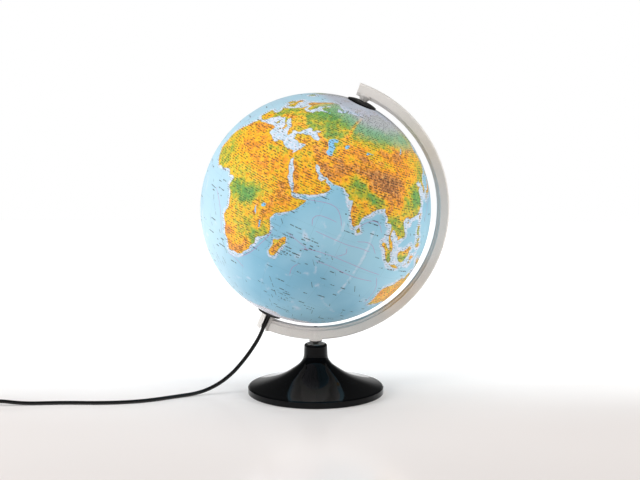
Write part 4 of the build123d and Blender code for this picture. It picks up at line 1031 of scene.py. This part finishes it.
# ---------------- other materials
def silver_paint():
    """Satin silver paint on the arm: fine flakes, a faint orange peel and slight wear."""
    kit = Nodes("silver_paint")
    flakes = kit.noise(2600.0, 2.0, 0.6)
    clouds = kit.noise(22.0, offset=4.0)
    tint = kit.mix(kit.fit(flakes, 0.3, 0.7), tone(218, 214, 209), tone(238, 234, 229))
    tint = kit.mix(kit.fit(clouds, 0.35, 0.65, 0.0, 0.25), tint, tone(198, 197, 195))
    peel = kit.bump(kit.noise(380.0, 2.0, 0.5, offset=2.0), 0.00004, 0.35)
    return kit.set(
        Base_Color=tint,
        Metallic=0.15,
        Roughness=kit.fit(clouds, 0.3, 0.7, 0.38, 0.46),
        Normal=kit.bump(flakes, 0.00001, 0.4, peel),
    )


def moulded(name, colour, roughness, grain=900.0, depth=0.00003, coat=0.0, gloss=0.5):
    """Moulded plastic with a fine spark-eroded grain and slight colour drift."""
    kit = Nodes(name)
    texture = kit.noise(grain, 3.0, 0.6)
    drift = kit.noise(35.0, offset=7.0)
    return kit.set(
        Base_Color=kit.mix(kit.fit(drift, 0.35, 0.65), darker(colour, 0.82), colour),
        Roughness=kit.fit(drift, 0.3, 0.7, roughness * 0.85, roughness * 1.15),
        Normal=kit.bump(texture, depth, 0.5),
        Coat_Weight=coat,
        Coat_Roughness=0.05,
        Specular_IOR_Level=gloss,
    )


def gloss_black():
    """Polished black lacquer of the base, with faint ripples and dust-fine haze."""
    kit = Nodes("gloss_black")
    ripple = kit.bump(kit.noise(55.0, 2.0, 0.4), 0.00005, 0.25)
    haze = kit.noise(300.0, 4.0, 0.6, offset=5.0)
    return kit.set(
        Base_Color=kit.mix(kit.fit(haze, 0.4, 0.7), tone(2, 3, 4), tone(6, 7, 9)),
        Roughness=kit.fit(haze, 0.3, 0.8, 0.04, 0.08),
        Specular_IOR_Level=0.18,
        Normal=ripple,
    )


def machined(name, colour, roughness=0.28, scratch=(40.0, 40.0, 4000.0)):
    """Bare or plated metal with fine turning marks."""
    kit = Nodes(name)
    marks = kit.noise(1.0, 3.0, 0.7, vector=kit.stretch(scratch))
    stains = kit.noise(60.0, offset=9.0)
    return kit.set(
        Base_Color=kit.mix(kit.fit(stains, 0.35, 0.75, 0.0, 0.5), colour, darker(colour, 0.7)),
        Metallic=1.0,
        Roughness=kit.fit(marks, 0.3, 0.7, roughness * 0.8, roughness * 1.3),
        Normal=kit.bump(marks, 0.00002, 0.4),
    )


def clear_glass():
    """Thin clear bulb glass with faint ripples."""
    kit = Nodes("clear_glass")
    waves = kit.noise(120.0, 2.0, 0.5)
    return kit.set(
        Base_Color=tone(248, 250, 250),
        Roughness=kit.fit(waves, 0.3, 0.7, 0.01, 0.03),
        Normal=kit.bump(waves, 0.00002, 0.2),
        Transmission_Weight=1.0,
        IOR=1.48,
    )


def hot_wire():
    """Glass foot and the glowing filament on its two supports."""
    kit = Nodes("hot_wire")
    coil = kit.put("TexWave", {"Vector": kit.place(), "Scale": 900.0})
    return kit.set(
        Base_Color=kit.mix(coil, tone(150, 146, 140), tone(196, 192, 184)),
        Metallic=0.4,
        Roughness=kit.fit(coil, 0.0, 1.0, 0.25, 0.4),
        Emission_Color=tone(255, 190, 110),
        Emission_Strength=2.0,
    )


def wool_felt():
    """Short-napped black felt."""
    kit = Nodes("wool_felt")
    fibres = kit.noise(1.0, 4.0, 0.7, vector=kit.stretch((3200.0, 900.0, 2000.0)))
    crossing = kit.noise(1.0, 4.0, 0.7, vector=kit.stretch((900.0, 3200.0, 2000.0)), offset=3.0)
    nap = kit.times(fibres, crossing)
    return kit.set(
        Base_Color=kit.mix(kit.fit(nap, 0.15, 0.35), tone(18, 18, 20), tone(52, 52, 54)),
        Roughness=kit.fit(nap, 0.1, 0.4, 0.95, 0.85),
        Normal=kit.bump(nap, 0.0004, 0.7),
        Sheen_Weight=0.3,
        Sheen_Roughness=0.5,
    )


def woven_strap():
    """Nylon hook-and-loop strap of the tie."""
    kit = Nodes("woven_strap")
    ribs = kit.put("TexWave", {"Vector": kit.place(), "Scale": 420.0, "Distortion": 0.6}, output=1)
    loops = kit.noise(1800.0, 3.0, 0.7)
    return kit.set(
        Base_Color=kit.mix(kit.fit(loops, 0.35, 0.65), tone(20, 20, 22), tone(44, 44, 47)),
        Roughness=kit.fit(loops, 0.3, 0.7, 0.75, 0.9),
        Normal=kit.bump(kit.plus(ribs, loops), 0.0002, 0.6),
        Sheen_Weight=0.2,
    )


silver = silver_paint()
black_gloss = gloss_black()
black_satin = moulded("black_satin", tone(14, 14, 16), 0.36)
black_cap = moulded("black_cap", tone(9, 9, 11), 0.45, gloss=0.25)
jacket = moulded("cord_jacket", tone(9, 9, 10), 0.4, grain=500.0, depth=0.00005)
switch_black = moulded("switch_black", tone(22, 22, 24), 0.42, grain=1400.0, depth=0.00006)
rocker_black = moulded("rocker_black", tone(28, 28, 31), 0.25, coat=0.3)
plug_black = moulded("plug_black", tone(18, 18, 20), 0.45, grain=1200.0, depth=0.00006)
white_plastic = moulded("white_plastic", tone(232, 230, 222), 0.35)
wire_white = moulded("wire_white", tone(222, 218, 208), 0.45)
bright_steel = machined("bright_steel", tone(196, 196, 194))
dark_steel = machined("dark_steel", tone(88, 88, 92), 0.35)
nickel = machined("nickel", tone(206, 202, 192), 0.2)
brass = machined("brass", tone(212, 176, 96), 0.25)

paint(silver, "meridian_arm")
paint(black_gloss, "base_bell")
paint(black_cap, "north_pole_cap")
paint(black_satin, "south_pole_collar", "foot_washer", "base_bottom_plate")
paint(white_plastic, "north_cap_retainer", "south_collar_retainer", "equator_joining_ring")
paint(white_plastic, "lampholder_body", "lamp_stem", "cord_grip", "lampholder_insulator")
paint(bright_steel, "north_pivot_pin", "bolt_washer", "base_screws", "switch_screws", "neck_spacer")
paint(dark_steel, "stem_grub_screw", "stem_bolt", "base_ballast")
paint(nickel, "plug_pins", "bulb_screw_cap")
paint(brass, "arm_thread_insert", "lampholder_sleeve", "lampholder_contact")
paint(brass, "switch_contacts", "bulb_contact_tip")
paint(wire_white, "supply_wires")
paint(clear_glass(), "bulb_glass")
paint(hot_wire(), "bulb_filament")
paint(wool_felt(), "base_felt_disc")
paint(woven_strap(), "cord_tie")
paint(switch_black, "switch_base", "switch_cover")
paint(rocker_black, "switch_rocker")
paint(plug_black, "plug_body", "plug_boot")
paint(jacket, cord)


# ---------------- floor and lights
FLOOR_FRONT = -6.0
FLOOR_HALF = 4.0
FLOOR_BACK = 1.3
# Painted shade: the floor's tone in front of the object is darker and warmer, standing in for the soft
# shadow of the base.
FLOOR_SHADED_NEAR = tone(220, 213, 210)
FLOOR_FAR = tone(244, 244, 244)
BACKDROP_WHITE = 0.5
ROOM_GREY = 0.07

# The floor's painted glow as steps that add up: depth where each starts and ends, and its value there.
# It lifts the base's shadows on the floor and is stronger behind the object and far in front of it.
GLOW_BEHIND = [(-0.5, -0.1, 0.14, 0.19), (-0.1, 0.12, 0.0, 0.25), (0.1, 0.6, 0.0, 0.25)]
GLOW_IN_FRONT = [(-0.55, -1.8, 0.0, 0.5), (-1.8, -3.2, 0.0, 0.5)]

MIDDLE = (0.0, 0.0, 0.2)
LEFT = (-2.0, -1.0, 1.0)
RIGHT = (2.1, -0.7, 1.0)
BOX = (0.6, 1.8)
WARM = (1.0, 0.98, 0.95)

# Softboxes: name, place, size, power in watts, colour, and whether gloss mirrors them.
SOFTBOXES = [
    ("left_box", LEFT, BOX, 44.0, WHITE, False),
    ("right_box", RIGHT, BOX, 36.0, WARM, False),
    ("left_sheen", LEFT, BOX, 6.0, WHITE, True),
    ("right_sheen", RIGHT, BOX, 6.0, WHITE, True),
    ("left_fill", (-2.2, 0.2, 0.6), (1.2, 1.2), 12.0, WHITE, False),
    ("top_box", (0.0, -0.2, 2.3), (1.8, 1.6), 25.0, WHITE, False),
]


def make_floor():
    """Pale, slightly glossy studio floor, with painted shade in front of the object and a painted glow
    that lifts the shadows around it.
    """
    places = [
        (-FLOOR_HALF, FLOOR_FRONT, 0), (FLOOR_HALF, FLOOR_FRONT, 0),
        (FLOOR_HALF, FLOOR_BACK, 0), (-FLOOR_HALF, FLOOR_BACK, 0),
    ]
    mesh = bpy.data.meshes.new("studio_floor")
    mesh.from_pydata(places, [], [(0, 1, 2, 3)])
    kit = Nodes("pale_floor")
    depth = kit.put("SeparateXYZ", {"Vector": kit.place()}, output=1)
    finish = kit.set(
        # Painted shade: the floor turns from the pale far tone to a darker, warmer tone in front of the
        # object.
        Base_Color=kit.mix(kit.fit(depth, -0.2, 0.15), FLOOR_SHADED_NEAR, FLOOR_FAR),
        Roughness=kit.fit(kit.noise(3.0, 2.0), 0.3, 0.7, 0.12, 0.16),
        Emission_Color=(*WHITE, 1.0),
        # Painted light: the floor glows, so the shadows around the base stay faint.
        Emission_Strength=kit.highest(kit.steps(depth, GLOW_BEHIND), kit.steps(depth, GLOW_IN_FRONT)),
    )
    mesh.materials.append(finish)
    add_object("studio_floor", mesh)


def area_light(name, place, size, power, colour, mirrored):
    """Rectangular softbox aimed at the middle of the object."""
    data = bpy.data.lights.new(name, "AREA")
    data.shape = "RECTANGLE"
    data.size, data.size_y = size
    data.energy = power
    data.color = colour
    light = add_object(name, data)
    light.location = place
    light.rotation_euler = (Vector(MIDDLE) - Vector(place)).to_track_quat("-Z", "Y").to_euler()
    light.visible_glossy = mirrored


def make_world():
    """White cloth behind the object, a dim room in front of it, and plain white as a background."""
    kit = Nodes("studio", world=True)
    direction = kit.put("TexCoord")
    behind = kit.fit(kit.put("SeparateXYZ", {"Vector": direction}, output=1), 0.0, 0.5)
    upwards = kit.put("SeparateXYZ", {"Vector": direction}, output=2)
    cloth = kit.times(behind, kit.fit(upwards, 0.05, 0.35, BACKDROP_WHITE, ROOM_GREY))
    seen = kit.put("LightPath")
    bpy.context.scene.world = kit.set(
        Color=(*WHITE, 1.0),
        Strength=kit.highest(cloth, ROOM_GREY, seen),
    )


make_floor()
make_world()
for softbox in SOFTBOXES:
    area_light(*softbox)
bpy.context.scene.view_settings.view_transform = "Standard"
